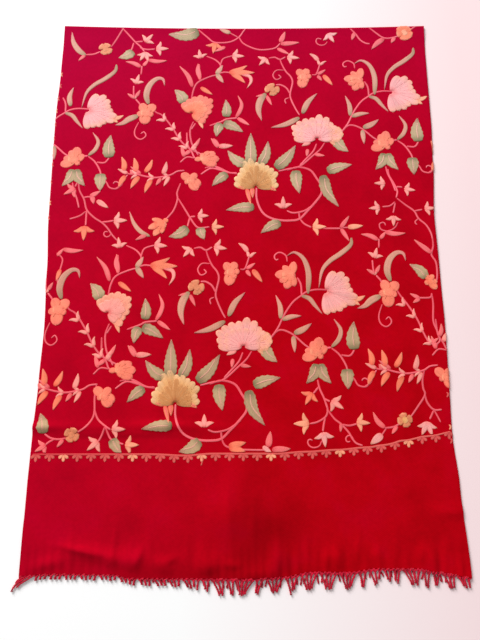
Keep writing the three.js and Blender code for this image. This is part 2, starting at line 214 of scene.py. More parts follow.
@dataclass
class ClothForm:
    """The folded cloth's form: where each place (x, t) of the cloth lies, on either layer."""

    length: float = 988.0  # fold to woven end
    rest_top: float = 2.7  # height of the top layer's face where it lies flat
    fold_top: float = 4.0  # and at the fold
    fold_rise: float = 14.0
    fold_start: float = 2.0  # t where the roll at the fold begins
    under_face: float = 0.35  # height of the face that looks at the table
    lowest: float = 0.05  # no face goes below this
    cloth: float = 0.85  # thickness of the wool with its nap
    bow: float = 6.0
    bow_reach: float = 160.0
    dip_from: float = 860.0
    side_radius: float = 1.3  # the long edges roll under with this outside radius
    side_tuck: float = 3.6
    side_open: Span = (880.0, 930.0)
    side_flat: float = 2.0  # width of the close columns where the edge lies open
    under_inset: float = 10.0
    under_open_inset: float = 1.5
    under_open: Span = (930.0, 960.0)
    under_short: float = 3.0
    flute_pitch: float = 21.0
    flute_lift: float = 1.1
    flute_t: Span = (944.0, 984.0)
    flute_x: Span = (20.0, 70.0)
    ripple: float = 0.8  # fine ripples near the woven end, 13 mm apart
    ripple_t: Span = (925.0, 985.0)
    rolled_t: Span = (14.0, 60.0)
    tuck_drop: float = 0.2  # how steeply the tucked strip goes down
    outline_t: Row = (0, 100, 200, 300, 400, 500, 600, 700, 780, 860, 988)
    outline_left: Row = (350, 351, 354, 353, 352, 347, 344, 346, 349, 351, 352)
    outline_right: Row = (351, 350, 350, 347, 341, 343, 344, 342, 341, 346, 352)
    dip_x: Row = (-352, -300, -205, -180, 0, 60, 105, 165, 205, 270, 300, 352)
    dip_out: Row = (8, 5, 6, 11, 12, 9, 2, 2, -3, -3, 2, 10)
    origin: Array = field(default_factory=lambda: np.zeros(2))

    def settle(self) -> None:
        """Take the place of the cloth's middle line and fold from the frame."""
        low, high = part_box("upper_layer")
        middle = (low.x + high.x) / 2 / MM
        lean = (max(self.outline_right) - max(self.outline_left)) / 2
        self.origin = np.array([middle - lean, high.y / MM])

    @property
    def fold_radius(self) -> float:
        """Outside radius of the roll at the fold."""
        return (self.fold_top - self.under_face) / 2

    @property
    def fold_arc(self) -> float:
        """Length of cloth in the half turn at the fold."""
        return math.pi * self.fold_radius

    def left(self, t: Array) -> Array:
        """Distance of the left edge from the middle line."""
        return between(self.outline_t, self.outline_left, t)

    def right(self, t: Array) -> Array:
        """Distance of the right edge from the middle line."""
        return between(self.outline_t, self.outline_right, t)

    def ground(self, x: Array, t: Array) -> Array:
        """Place along the table, from the fold: minus t, with the fold's bow and the end's dips."""
        share = x / self.outline_left[0]
        bow = self.bow * (1 - share * share) * (1 - smooth(0, self.bow_reach, t))
        dips = between(self.dip_x, self.dip_out, x)
        return -t - bow - dips * smooth(self.dip_from, self.length, t)

    def pucker(self, x: Array, t: Array) -> Array:
        """The field's fine unevenness: four slow sines across each other, fading at the fold."""
        waves = (
            0.12 * np.sin(x / 9.7 + 1.9 * np.sin(t / 41.0))
            + 0.12 * np.sin(t / 11.3 + 1.7 * np.sin(x / 37.0))
            + 0.16 * np.sin((x + t) / 23.0 + 1.3 * np.sin((x - t) / 71.0))
            + 0.16 * np.sin((x - 0.8 * t) / 31.0 + 0.9)
        )
        return waves * smooth(2, 40, t)

    def face(self, x: Array, t: Array) -> Array:
        """Height of the top layer's face: its rest height, every fold and ripple, and the swell."""
        lift = sum((fold.height(x, t) for fold in (*FOLDS, *CREASES)), np.zeros_like(x))
        wave = 0.5 + 0.5 * np.cos(2 * math.pi * x / self.flute_pitch)
        flutes = self.flute_lift * wave * smooth(*self.flute_t, t) * smooth(*self.flute_x, x)
        past = np.maximum(t - self.fold_start, 0.0)
        swell = (self.fold_top - self.rest_top) * np.exp(-past / self.fold_rise)
        strength = self.ripple * (0.55 + 0.45 * np.sin(x / 57.0 + 1.0)) * smooth(*self.ripple_t, t)
        ripples = strength * np.sin(x / 2.1 + 2.2 * np.sin(x / 29.0))
        return self.rest_top + lift + flutes + ripples + swell + self.pucker(x, t)

    def roll_share(self, t: Array) -> Array:
        """How far the long edges are rolled under: 1 along the field, 0 at the fold and the end."""
        return smooth(*self.rolled_t, t) * (1 - smooth(*self.side_open, t))

    def flat_reach(self, t: Array) -> Array:
        """How much of the outline lies past the flat part of the top layer, on each side."""
        turned = np.minimum(self.roll_share(t) * math.pi, math.pi / 2)
        open_width = self.side_flat * (1 - self.roll_share(t))
        return self.side_radius * np.sin(turned) + open_width

    def edge_roll(self, past: Array, t: Array) -> tuple[Array, Array, Array]:
        """Carry cloth past the flat part round the rolled long edge.

        The cloth follows a circle until it has turned its share of a half turn, then runs straight.

        Args:
            past: length of cloth past the flat part.
            t: the place along the cloth.

        Returns:
            The way out, the way up and the angle turned, at each place.
        """
        share = self.roll_share(t)
        full = share * math.pi
        open_width = self.side_flat * (1 - share)
        bent = np.maximum(past - open_width, 0.0)
        angle = np.minimum(bent / self.side_radius, full)
        straight = np.maximum(bent - self.side_radius * full, 0.0)
        out = np.minimum(past, open_width) + self.side_radius * np.sin(angle)
        out = out + straight * np.cos(full)
        up = -self.side_radius * (1 - np.cos(angle)) - straight * np.sin(full) * self.tuck_drop
        return out, up, angle

    def roll_length(self, t: Array) -> Array:
        """Length of cloth past the flat part, on each side."""
        share = self.roll_share(t)
        tuck = self.side_tuck * smooth(0.8, 1.0, share)
        return self.side_flat * (1 - share) + self.side_radius * share * math.pi + tuck

    def place(self, x: Array, t: Array, lift: Array | float = 0.0) -> Array:
        """Where places of the cloth's face lie in the frame, lifted off it.

        Top: the face's height, rolled at the long edges. Fold: a half circle. Under: a flat face.

        Args:
            x: places across, measured along the cloth where it rolls.
            t: places along, below zero past the fold.
            lift: height over the face.

        Returns:
            One row of x, y, z in metres for each place.
        """
        x, t = np.broadcast_arrays(np.asarray(x, float), np.asarray(t, float))
        lift = np.broadcast_to(np.asarray(lift, float), x.shape)
        top_t = np.maximum(t, self.fold_start)
        side = np.where(x < 0, -1.0, 1.0)
        edge = np.where(x < 0, self.left(top_t), self.right(top_t))
        flat = edge - self.flat_reach(top_t)
        past = np.maximum(np.abs(x) - flat, 0.0)
        out, up, angle = self.edge_roll(past, top_t)
        top_x = np.where(past > 0, side * (flat + out + lift * np.sin(angle)), x)
        seen_x = np.where(past > 0, side * flat, x)
        top_z = self.face(seen_x, top_t) + up + lift * np.cos(angle)
        top_z = np.maximum(top_z, self.lowest)
        top_y = self.ground(top_x, top_t)

        fold_y = self.ground(x, np.full_like(x, self.fold_start))
        turn = np.clip((self.fold_start - t) / self.fold_radius, 0.0, math.pi)
        radius = self.fold_radius + np.where(turn < math.pi, lift, 0.0)
        arc_y = fold_y + radius * np.sin(turn)
        arc_z = self.under_face + self.fold_radius + radius * np.cos(turn)
        arc_z = np.maximum(arc_z, self.lowest)

        under_t = np.maximum(self.fold_start - self.fold_arc - t, 0.0) + self.fold_start
        under_y = self.ground(x, under_t)
        under_z = self.under_face - np.minimum(lift, self.under_face - self.lowest)

        on_top = t >= self.fold_start
        on_arc = ~on_top & (turn < math.pi)
        place_x = np.where(on_top, top_x, x)
        place_y = np.where(on_top, top_y, np.where(on_arc, arc_y, under_y))
        place_z = np.where(on_top, top_z, np.where(on_arc, arc_z, under_z))
        moved = (place_x + self.origin[0], place_y + self.origin[1], place_z)
        return np.stack(moved, axis=-1) * MM


# ---------------- meshes and nodes


@dataclass
class MeshParts:
    """Vertices, faces and thread colours gathered from many patches, for one Blender mesh."""

    points: list[Array] = field(default_factory=list)
    quads: list[Array] = field(default_factory=list)
    triangles: list[Array] = field(default_factory=list)
    colours: list[Array] = field(default_factory=list)
    count: int = 0

    def add(
        self,
        points: Array,
        quads: Array,
        triangles: Array | None = None,
        colours: Array | None = None,
    ) -> None:
        """Add a patch.

        Args:
            points: rows of x, y, z in metres.
            quads: rows of four indices into points.
            triangles: rows of three indices into points.
            colours: a linear RGB row for each point.
        """
        self.points.append(points.reshape(-1, 3))
        self.quads.append(quads.reshape(-1, 4) + self.count)
        if triangles is not None:
            self.triangles.append(triangles.reshape(-1, 3) + self.count)
        if colours is not None:
            self.colours.append(colours.reshape(-1, 3))
        self.count += len(self.points[-1])

    def face_total(self) -> int:
        """How many triangles the mesh comes to."""
        return 2 * sum(map(len, self.quads)) + sum(map(len, self.triangles))

    def build(self, name: str, material: bpy.types.Material) -> bpy.types.Object:
        """Make the Blender object.

        Args:
            name: the piece's name.
            material: its finish.

        Returns:
            The object, linked into the scene, at the origin.
        """
        points = np.concatenate(self.points)
        quads = np.concatenate(self.quads) if self.quads else np.zeros((0, 4), int)
        triangles = np.concatenate(self.triangles) if self.triangles else np.zeros((0, 3), int)
        mesh = bpy.data.meshes.new(name)
        mesh.vertices.add(len(points))
        mesh.vertices.foreach_set("co", points.astype(np.float32).ravel())
        corners = np.concatenate([quads.ravel(), triangles.ravel()]).astype(np.int32)
        mesh.loops.add(len(corners))
        mesh.loops.foreach_set("vertex_index", corners)
        starts = np.concatenate(
            [4 * np.arange(len(quads)), 4 * len(quads) + 3 * np.arange(len(triangles))]
        )
        mesh.polygons.add(len(starts))
        mesh.polygons.foreach_set("loop_start", starts.astype(np.int32))
        mesh.update(calc_edges=True)
        mesh.validate()
        mesh.polygons.foreach_set("use_smooth", np.ones(len(mesh.polygons), bool))
        if self.colours:
            colours = np.concatenate(self.colours)
            rgba = np.concatenate([colours, np.ones((len(colours), 1))], axis=1)
            layer = mesh.attributes.new("thread", "FLOAT_COLOR", "POINT")
            layer.data.foreach_set("color", rgba.astype(np.float32).ravel())
        mesh.materials.append(material)
        piece = bpy.data.objects.new(name, mesh)
        bpy.context.scene.collection.objects.link(piece)
        low, high = points[:, 2].min() / MM, points[:, 2].max() / MM
        LOG.info("%s: %d triangles, %.2f to %.2f mm high", name, self.face_total(), low, high)
        return piece


def grid_quads(rows: int, columns: int, start: int = 0, flip: bool = False) -> Array:
    """Quads of a grid of points, row by row.

    Args:
        rows: rows of points.
        columns: points in a row.
        start: index of the first point.
        flip: turn the faces round.

    Returns:
        Rows of four indices.
    """
    index = start + np.arange(rows * columns).reshape(rows, columns)
    around = (index[:-1, :-1], index[:-1, 1:], index[1:, 1:], index[1:, :-1])
    return np.stack(around[::-1] if flip else around, axis=-1).reshape(-1, 4)


def node(
    tree: Tree, kind: str, settings: dict | None = None, inputs: dict | None = None
) -> bpy.types.Node:
    """Add one node with its settings and links.

    Args:
        tree: the material's or world's node tree.
        kind: the node's type name.
        settings: attributes to set on it.
        inputs: for each socket a value, or an output socket to link from.

    Returns:
        The node.
    """
    made = tree.nodes.new(kind)
    for key, value in (settings or {}).items():
        setattr(made, key, value)
    for key, value in (inputs or {}).items():
        if isinstance(value, Socket):
            tree.links.new(value, made.inputs[key])
        else:
            made.inputs[key].default_value = value
    return made


def noise(tree: Tree, where: Socket, size_mm: float, detail: float) -> Socket:
    """Noise from 0 to 1 in lumps of a size: its scale is one over the size in metres."""
    inputs = {"Vector": where, "Scale": 1 / (size_mm * MM), "Detail": detail}
    return node(tree, "ShaderNodeTexNoise", inputs=inputs).outputs["Fac"]


def maths(tree: Tree, operation: str, *terms: Socket | float) -> Socket:
    """One step of arithmetic on single values."""
    return node(tree, "ShaderNodeMath", {"operation": operation}, dict(enumerate(terms))).outputs[0]


def remap(tree: Tree, value: Socket, given: tuple, wanted: tuple, ease: str = "LINEAR") -> Socket:
    """Carry a value from one span to another, and hold it at both ends.

    Args:
        tree: the node tree.
        value: what is carried.
        given: the span it comes in.
        wanted: the span it leaves in.
        ease: the way between the ends, by Blender's name.

    Returns:
        The carried value.
    """
    ends = zip(("From Min", "From Max", "To Min", "To Max"), (*given, *wanted))
    inputs = {"Value": value, **dict(ends)}
    return node(tree, "ShaderNodeMapRange", {"interpolation_type": ease}, inputs).outputs["Result"]


def ramp(tree: Tree, value: Socket, stops: tuple[tuple[float, str], ...]) -> Socket:
    """A colour for each value, through stops of a place and an sRGB hex colour."""
    made = node(tree, "ShaderNodeValToRGB", inputs={"Fac": value})
    band = made.color_ramp
    while len(band.elements) < len(stops):
        band.elements.new(1.0)
    for element, (at, colour) in zip(band.elements, stops):
        element.position = at
        element.color = (*linear(colour), 1.0)
    return made.outputs["Color"]


def toned(tree: Tree, colour: Socket, tone: Socket) -> Socket:
    """A colour times a value."""
    inputs = {0: colour, "Scale": tone}
    return node(tree, "ShaderNodeVectorMath", {"operation": "SCALE"}, inputs).outputs["Vector"]


def relief(tree: Tree, height: Socket, strength: float, deep_mm: float) -> Socket:
    """The surface's direction, bumped by a height."""
    inputs = {"Height": height, "Strength": strength, "Distance": deep_mm * MM}
    return node(tree, "ShaderNodeBump", inputs=inputs).outputs["Normal"]


# ---------------- finishes


@dataclass(frozen=True)
class Finish:
    """A matt finish: one shader, fed by a node tree of its own."""

    name: str
    roughness: float

    def build(self) -> bpy.types.Material:
        """Make the material, with its patterns on Object coordinates in metres."""
        material = bpy.data.materials.new(self.name)
        material.use_nodes = True
        tree = material.node_tree
        tree.nodes.clear()
        where = node(tree, "ShaderNodeTexCoord").outputs["Object"]
        inputs = {"Roughness": self.roughness, **self.looks(tree, where)}
        shader = node(tree, "ShaderNodeBsdfPrincipled", inputs=inputs)
        node(tree, "ShaderNodeOutputMaterial", inputs={"Surface": shader.outputs["BSDF"]})
        return material

    def looks(self, tree: Tree, where: Socket) -> dict[str, object]:
        """What the shader gets besides its roughness, which each finish says for itself.

        Args:
            tree: the material's node tree.
            where: the place on the object, in metres.

        Returns:
            A value or a socket for each of the shader's inputs.
        """
        raise NotImplementedError


@dataclass(frozen=True)
class PashminaTwill(Finish):
    """Fine goat's wool in a soft twill, dyed crimson and lightly brushed.

    It has no gloss: the nap catches light at a low angle, the dye lies a little unevenly, and the
    twill's diagonal is drawn at 2.4 mm, four times its real spacing, so that it shows at all. Its
    colour also holds painted light: a cooler, darker tone towards the fold and the left edge, and
    painted shade in a hollow, along a crease and at the woven end.
    """

    name: str = "pashmina_twill"
    roughness: float = 0.86
    dye: str = "b60010"
    dye_deep: str = "aa000c"
    dye_cool: str = "ba0018"
    cool_light_tint: str = "ac0037"  # painted cool light: a cooler, darker tone towards the fold and the left edge
    nap: str = "ff2a50"
    # Where that tone sets in and where it is full, in metres: along the cloth, and across it.
    far: Span = (-0.2, 0.5)
    aside: Span = (0.05, -0.36)
    slant: float = -0.08  # how much of the place across counts as along
    # Painted shade where a hollow, the crease above the border and the woven end's humps lie in
    # shade: x, y, half width, half length, in metres, and tone.
    pressed: tuple[tuple[float, float, float, float, float], ...] = (
        (0.032, -0.42, 0.072, 0.082, 0.78),
        (-0.12, -0.48, 0.21, 0.022, 0.84),
        (0.08, -0.478, 0.07, 0.025, 0.9),
        (-0.2, -0.2685, 0.12, 0.0055, 0.76),
    )
    twill_mm: float = 2.4
    twill_turn: float = 58.0
    wave_scale: float = 0.314  # the wave pattern's scale for a wave a metre
    cloud_mm: float = 62.0
    slub_mm: float = 5.0

    def looks(self, tree: Tree, where: Socket) -> dict[str, object]:
        """Dye in clouds, painted cool light far and left, painted shade in spots, over the twill."""
        cloud = noise(tree, where, self.cloud_mm, 3.0)
        dyed = ramp(tree, cloud, ((0.30, self.dye_deep), (0.52, self.dye), (0.74, self.dye_cool)))
        split = node(tree, "ShaderNodeSeparateXYZ", inputs={0: where}).outputs
        # Painted cool light: towards the fold and the left edge the dye is mixed into a cooler,
        # darker tone.
        along = maths(tree, "MULTIPLY_ADD", split["X"], self.slant, split["Y"])
        far = remap(tree, along, self.far, (0.0, 0.82))
        aside = remap(tree, split["X"], self.aside, (0.0, 0.26))
        cool = maths(tree, "MULTIPLY_ADD", far, far, aside)
        mix = {0: cool, 6: dyed, 7: (*linear(self.cool_light_tint), 1.0)}
        tinted = node(tree, "ShaderNodeMix", {"data_type": "RGBA"}, mix).outputs[2]
        slub = noise(tree, where, self.slub_mm, 4.0)
        tone = remap(tree, slub, (0.0, 1.0), (0.86, 1.12))
        # Painted shade: each spot darkens the colour towards its middle.
        for x, y, wide, long, deep in self.pressed:
            shrunk = {"Vector": where, "Scale": (1 / wide, 1 / long, 0.0)}
            here = node(tree, "ShaderNodeMapping", inputs=shrunk).outputs["Vector"]
            ends = {0: here, 1: (x / wide, y / long, 0.0)}
            away = node(tree, "ShaderNodeVectorMath", {"operation": "DISTANCE"}, ends)
            spot = remap(tree, away.outputs["Value"], (0.0, 1.5), (deep, 1.0), "SMOOTHSTEP")
            tone = maths(tree, "MULTIPLY", tone, spot)
        turn = {"Vector": where, "Rotation": (0.0, 0.0, math.radians(self.twill_turn))}
        wave = {
            "Vector": node(tree, "ShaderNodeMapping", inputs=turn).outputs["Vector"],
            "Scale": self.wave_scale / (self.twill_mm * MM),
            "Distortion": 1.2,
            "Detail": 1.0,
        }
        twill = node(tree, "ShaderNodeTexWave", inputs=wave).outputs["Fac"]
        height = maths(tree, "MULTIPLY_ADD", slub, 1.6, twill)
        return {
            "Base Color": toned(tree, tinted, tone),
            "Specular IOR Level": 0.02,
            "Sheen Weight": 0.03,
            "Sheen Roughness": 0.5,
            "Sheen Tint": (*linear(self.nap), 1.0),
            "Normal": relief(tree, height, 0.35, 0.25),
        }


@dataclass(frozen=True)
class CrewelThread(Finish):
    """Soft two-ply embroidery wool, laid in hooked chain stitch.

    Each link throws a small highlight and a shadow beside it. The colour comes with the mesh, with
    painted shade in the grooves, a painted highlight on the crests and painted cool light towards
    the fold, and the ply's fine fibres are a bump at 0.8 mm.
    """

    name: str = "crewel_thread"
    roughness: float = 0.72
    fibre_mm: float = 0.8

    def looks(self, tree: Tree, where: Socket) -> dict[str, object]:
        """The mesh's thread colour, its painted light included, with the fibres' tone and bump."""
        colour = node(tree, "ShaderNodeAttribute", {"attribute_name": "thread"}).outputs["Color"]
        fibre = noise(tree, where, self.fibre_mm, 3.0)
        return {
            "Base Color": toned(tree, colour, remap(tree, fibre, (0.0, 1.0), (0.84, 1.14))),
            "Specular IOR Level": 0.15,
            "Sheen Weight": 0.04,
            "Sheen Roughness": 0.5,
            "Normal": relief(tree, fibre, 0.3, 0.2),
        }


@dataclass(frozen=True)
class FringeWool(Finish):
    """Loose twisted ends of the same crimson wool, dyed brighter as painted light coming through.

    The yarn is matt, and its fibres are a bump at 0.7 mm.
    """

    name: str = "fringe_wool"
    roughness: float = 0.85
    # Painted light: this dye is brighter than the cloth's, for the light that comes through the yarn.
    dye: str = "cc0430"
    dye_deep: str = "a80024"
    lock_mm: float = 6.25
    fibre_mm: float = 0.7

    def looks(self, tree: Tree, where: Socket) -> dict[str, object]:
        """Dye that changes from lock to lock, with the fibres' bump."""
        lock = noise(tree, where, self.lock_mm, 2.0)
        fibre = noise(tree, where, self.fibre_mm, 3.0)
        return {
            "Base Color": ramp(tree, lock, ((0.35, self.dye_deep), (0.6, self.dye))),
            "Specular IOR Level": 0.15,
            "Sheen Weight": 0.2,
            "Sheen Roughness": 0.5,
            "Normal": relief(tree, fibre, 0.4, 0.2),
        }


@dataclass(frozen=True)
class MattBoard(Finish):
    """A white painted board under the stole, with the cloth's rosy light painted on to the right."""

    name: str = "matt_board"
    roughness: float = 0.9
    left: str = "fdfdfd"
    # Painted light: the rosy, slightly darker tone to the right stands for light thrown back by the
    # cloth.
    right: str = "f7dcde"
    rosy_light_span: Span = (-0.1, 0.42)  # metres across, from the left tone to the painted rosy light on the right

    def looks(self, tree: Tree, where: Socket) -> dict[str, object]:
        """One pale colour that slides along X into the painted rosy light."""
        across = node(tree, "ShaderNodeSeparateXYZ", inputs={0: where}).outputs["X"]
        share = remap(tree, across, self.rosy_light_span, (0.0, 1.0))
        return {"Base Color": ramp(tree, share, ((0.0, self.left), (1.0, self.right)))}


# ---------------- the cloth


@dataclass
class Stole:
    """The one length of cloth: the top layer, the roll at the fold and the layer below."""

    form: ClothForm
    inner_columns: int = 200
    edge_columns: int = 8
    flat_size: Span = (0.704, 1.98)
    # The rows' spacing on the top layer from the woven end on, each down to a t, and the rows
    # round the fold. Then the spacing on the layer below, each from a distance past the fold.
    top_rows: tuple[Span, ...] = ((930, 2), (900, 3.5), (792, 7), (750, 3), (30, 9), (2.5, 3.5))
    fold_rows: int = 9
    under_rows: tuple[Span, ...] = ((12, 12), (60, 60), (900, 6))

    def stations(self) -> Array:
        """Places t of the rows, close together where the cloth bends."""
        form = self.form
        fold_end = form.fold_start - form.fold_arc
        starts = (form.length, *(stop for stop, _ in self.top_rows))
        top = [np.arange(at, stop, -step) for at, (stop, step) in zip(starts, self.top_rows)]
        reach = form.length - form.under_short - form.fold_start
        stops = (*(at for at, _ in self.under_rows[1:]), reach)
        deep = [np.arange(at, stop, step) for (at, step), stop in zip(self.under_rows, stops)]
        under = fold_end - np.concatenate([*deep, [reach]])
        return np.concatenate([*top, np.linspace(form.fold_start, fold_end, self.fold_rows), under])

    def grid(self) -> tuple[Array, Array]:
        """Places (x, t) of the whole sheet: even columns, and close ones round the long edges.

        Returns:
            Two arrays of rows by columns.
        """
        form = self.form
        t = self.stations()
        top_t = np.maximum(t, form.fold_start)
        deep = np.maximum(form.fold_start - form.fold_arc - t, 0.0)
        opened = smooth(*form.under_open, deep)
        under_inset = form.under_inset + (form.under_open_inset - form.under_inset) * opened
        is_top = t >= form.fold_start
        inset = np.where(is_top, 0.0, under_inset * smooth(0, 60, deep))
        along = np.where(is_top, top_t, deep)
        left = form.left(along) - inset
        right = form.right(along) - inset
        reach = np.where(is_top, form.flat_reach(top_t), form.side_flat)
        roll = np.where(is_top, form.roll_length(top_t), form.side_flat)
        spread = np.linspace(0.0, 1.0, self.edge_columns + 1)
        inner = np.linspace(0.0, 1.0, self.inner_columns + 1)
        near = -(left - reach)[:, None] - roll[:, None] * spread[None, :0:-1]
        far = (right - reach)[:, None] + roll[:, None] * spread[None, 1:]
        width = (left + right - 2 * reach)[:, None]
        middle = -(left - reach)[:, None] + width * inner[None, :]
        x = np.concatenate([near, middle, far], axis=1)
        return x, np.broadcast_to(t[:, None], x.shape)

    def build(self, material: bpy.types.Material) -> bpy.types.Object:
        """Make the sheet a closed wall: the face, the same grid moved in, and a rim round both."""
        x, t = self.grid()
        face = self.form.place(x, t)
        along_x = np.gradient(face, axis=1)
        along_t = np.gradient(face, axis=0)
        normal = np.cross(along_x, along_t)
        normal /= np.linalg.norm(normal, axis=-1, keepdims=True) + 1e-12
        back = face - normal * self.form.cloth * MM
        back[..., 2] = np.maximum(back[..., 2], self.form.lowest * MM)
        rows, columns = x.shape
        parts = MeshParts()
        size = rows * columns
        index = np.arange(size).reshape(rows, columns)
        rim = np.concatenate([index[0, :-1], index[:-1, -1], index[-1, :0:-1], index[:0:-1, 0]])
        turned = np.roll(rim, -1)
        rim_quads = np.stack([turned, rim, rim + size, turned + size], axis=-1)
        quads = np.concatenate(
            [grid_quads(rows, columns), grid_quads(rows, columns, size, flip=True), rim_quads]
        )
        parts.add(np.concatenate([face.reshape(-1, 3), back.reshape(-1, 3)]), quads)
        return parts.build("stole_cloth", material)


# ---------------- embroidery stitches


@dataclass(frozen=True)
class Thread:
    """One skein's sRGB shades: at a motif's root, in its body, at its tip and in its outline."""

    root: str
    body: str
    tip: str
    edge: str


SAGE = Thread("8c7e5c", "c2a480", "d09a84", "9c8a6a")
FERN = Thread("b09070", "dc9c86", "e8908a", "bc8470")
CORAL = Thread("f0624c", "ff8868", "ff967a", "e4584c")
PEACH = Thread("f88c72", "ffaa88", "ffb492", "ec7c62")
BLUSH = Thread("fa8e8c", "fbada9", "fcae98", "f08480")
PINK = Thread("f87c78", "ffa298", "ffa898", "f07870")
ROSE = Thread("ee5a62", "fa787a", "ff8884", "e85860")
GOLD = Thread("cc8c54", "e8ac70", "f2c090", "d08858")
AMBER = Thread("bc6e40", "d08c56", "d89660", "e8ba8a")
POSY = Thread("ffac88", "ff8a70", "fc8070", "e85850")
MIXED = Thread("ff7e74", "ff9e86", "ffac90", "ec6c60")
TAN = Thread("d87c58", "e48c66", "ee9c78", "c86a4c")
VINE = Thread("ee5868", "f86c78", "fa7884", "de4a5c")
BORDER = Thread("d8444c", "e2605c", "e8726a", "c63442")
PLUM = Thread("ee7c80", "ea7078", "ee7c80", "e66c74")
CREAM = Thread("dca068", "ecc694", "f4d4a4", "e8bc88")
RIB = Thread("e0988a", "f0b0a0", "eca898", "e09c8c")
# The thread of the thin lines between petals and along leaves, for each thread that has them.
VEINS = {
    BLUSH: PLUM,
    MIXED: PLUM,
    GOLD: AMBER,
    AMBER: CREAM,
    POSY: CORAL,
    CORAL: ROSE,
    PEACH: CORAL,
    SAGE: RIB,
}
# What a pale flower's threads turn to in a copy that is sewn in coral.
WARM = {MIXED: POSY, PINK: CORAL}


class Outline(Enum):
    """How a patch's half width runs from root to tip: powers of the share and of what is left."""

    LEAF = (0.5, 0.95)
    HEART = (0.44, 1.05)
    PETAL = (0.82, 0.5)
    LOBE = (0.72, 0.62)
    OVAL = (0.5, 0.5)
    CORD = (0.12, 0.12)

    def width(self, share: Array) -> Array:
        """Half width, at most 1: the share to one power times what is left to the other."""
        grow, fade = self.value
        peak = grow / (grow + fade)
        most = peak**grow * (1 - peak) ** fade
        shape = np.clip(share, 0, 1) ** grow * np.clip(1 - share, 0, 1) ** fade
        return 0.04 + 0.96 * shape / most


class Work(Enum):
    """The pieces that the stitching is kept in."""

    VINES = "embroidery_vines"
    LEAVES = "embroidery_leaves"
    FLOWERS = "embroidery_flowers"
    BORDER = "embroidery_border"
    UNDER = "embroidery_under"


# How much coarser than the vines each kind of work is sewn.
COARSE = {Work.UNDER: 2.4, Work.FLOWERS: 1.38, Work.LEAVES: 1.12}


@dataclass(frozen=True)
class Patch:
    """Rows of chain stitch side by side along a spine, as wide as its outline says."""

    spine: Path
    width: float
    thread: Thread
    outline: Outline = Outline.LEAF
    lift: float = 0.0
    work: Work = Work.LEAVES
    teeth: float = 0.0  # how far the outline is toothed, as a share of its half width


def trace(points: Path, step: float) -> tuple[Array, Array, Array]:
    """Carry a smooth line through points and mark it at even steps.

    Between two points it is the Catmull-Rom cubic of them and their neighbours.

    Args:
        points: two points or more.
        step: the spacing wanted.

    Returns:
        The marks, the unit way across at each, and each one's share of the length.
    """
    given = np.asarray(points, float)
    ends = np.vstack([2 * given[0] - given[1], given, 2 * given[-1] - given[-2]])
    before, start, end, after = (ends[k : k + len(given) - 1, None] for k in range(4))
    part = np.linspace(0, 1, 10, endpoint=False)[None, :, None]
    cubic = 2 * start + (end - before) * part + (2 * before - 5 * start + 4 * end - after) * part**2
    cubic = 0.5 * (cubic + (3 * start - before - 3 * end + after) * part**3)
    line = np.vstack([cubic.reshape(-1, 2), given[-1]])
    reach = np.concatenate([[0], np.cumsum(np.linalg.norm(np.diff(line, axis=0), axis=1))])
    count = max(4, int(round(reach[-1] / step)))
    at = np.linspace(0, reach[-1], count + 1)
    marks = np.stack([np.interp(at, reach, line[:, k]) for k in (0, 1)], axis=-1)
    way = np.gradient(marks, axis=0)
    way /= np.linalg.norm(way, axis=1, keepdims=True) + 1e-9
    return marks, np.stack([-way[:, 1], way[:, 0]], axis=-1), at / reach[-1]


def toward(turn: float) -> Array:
    """The unit way on the cloth for degrees: 0 is to the right and 90 to the woven end."""
    angle = math.radians(turn)
    return np.array([math.cos(angle), math.sin(angle)])


def point(place: Array) -> Place:
    """A place as a plain pair."""
    return float(place[0]), float(place[1])


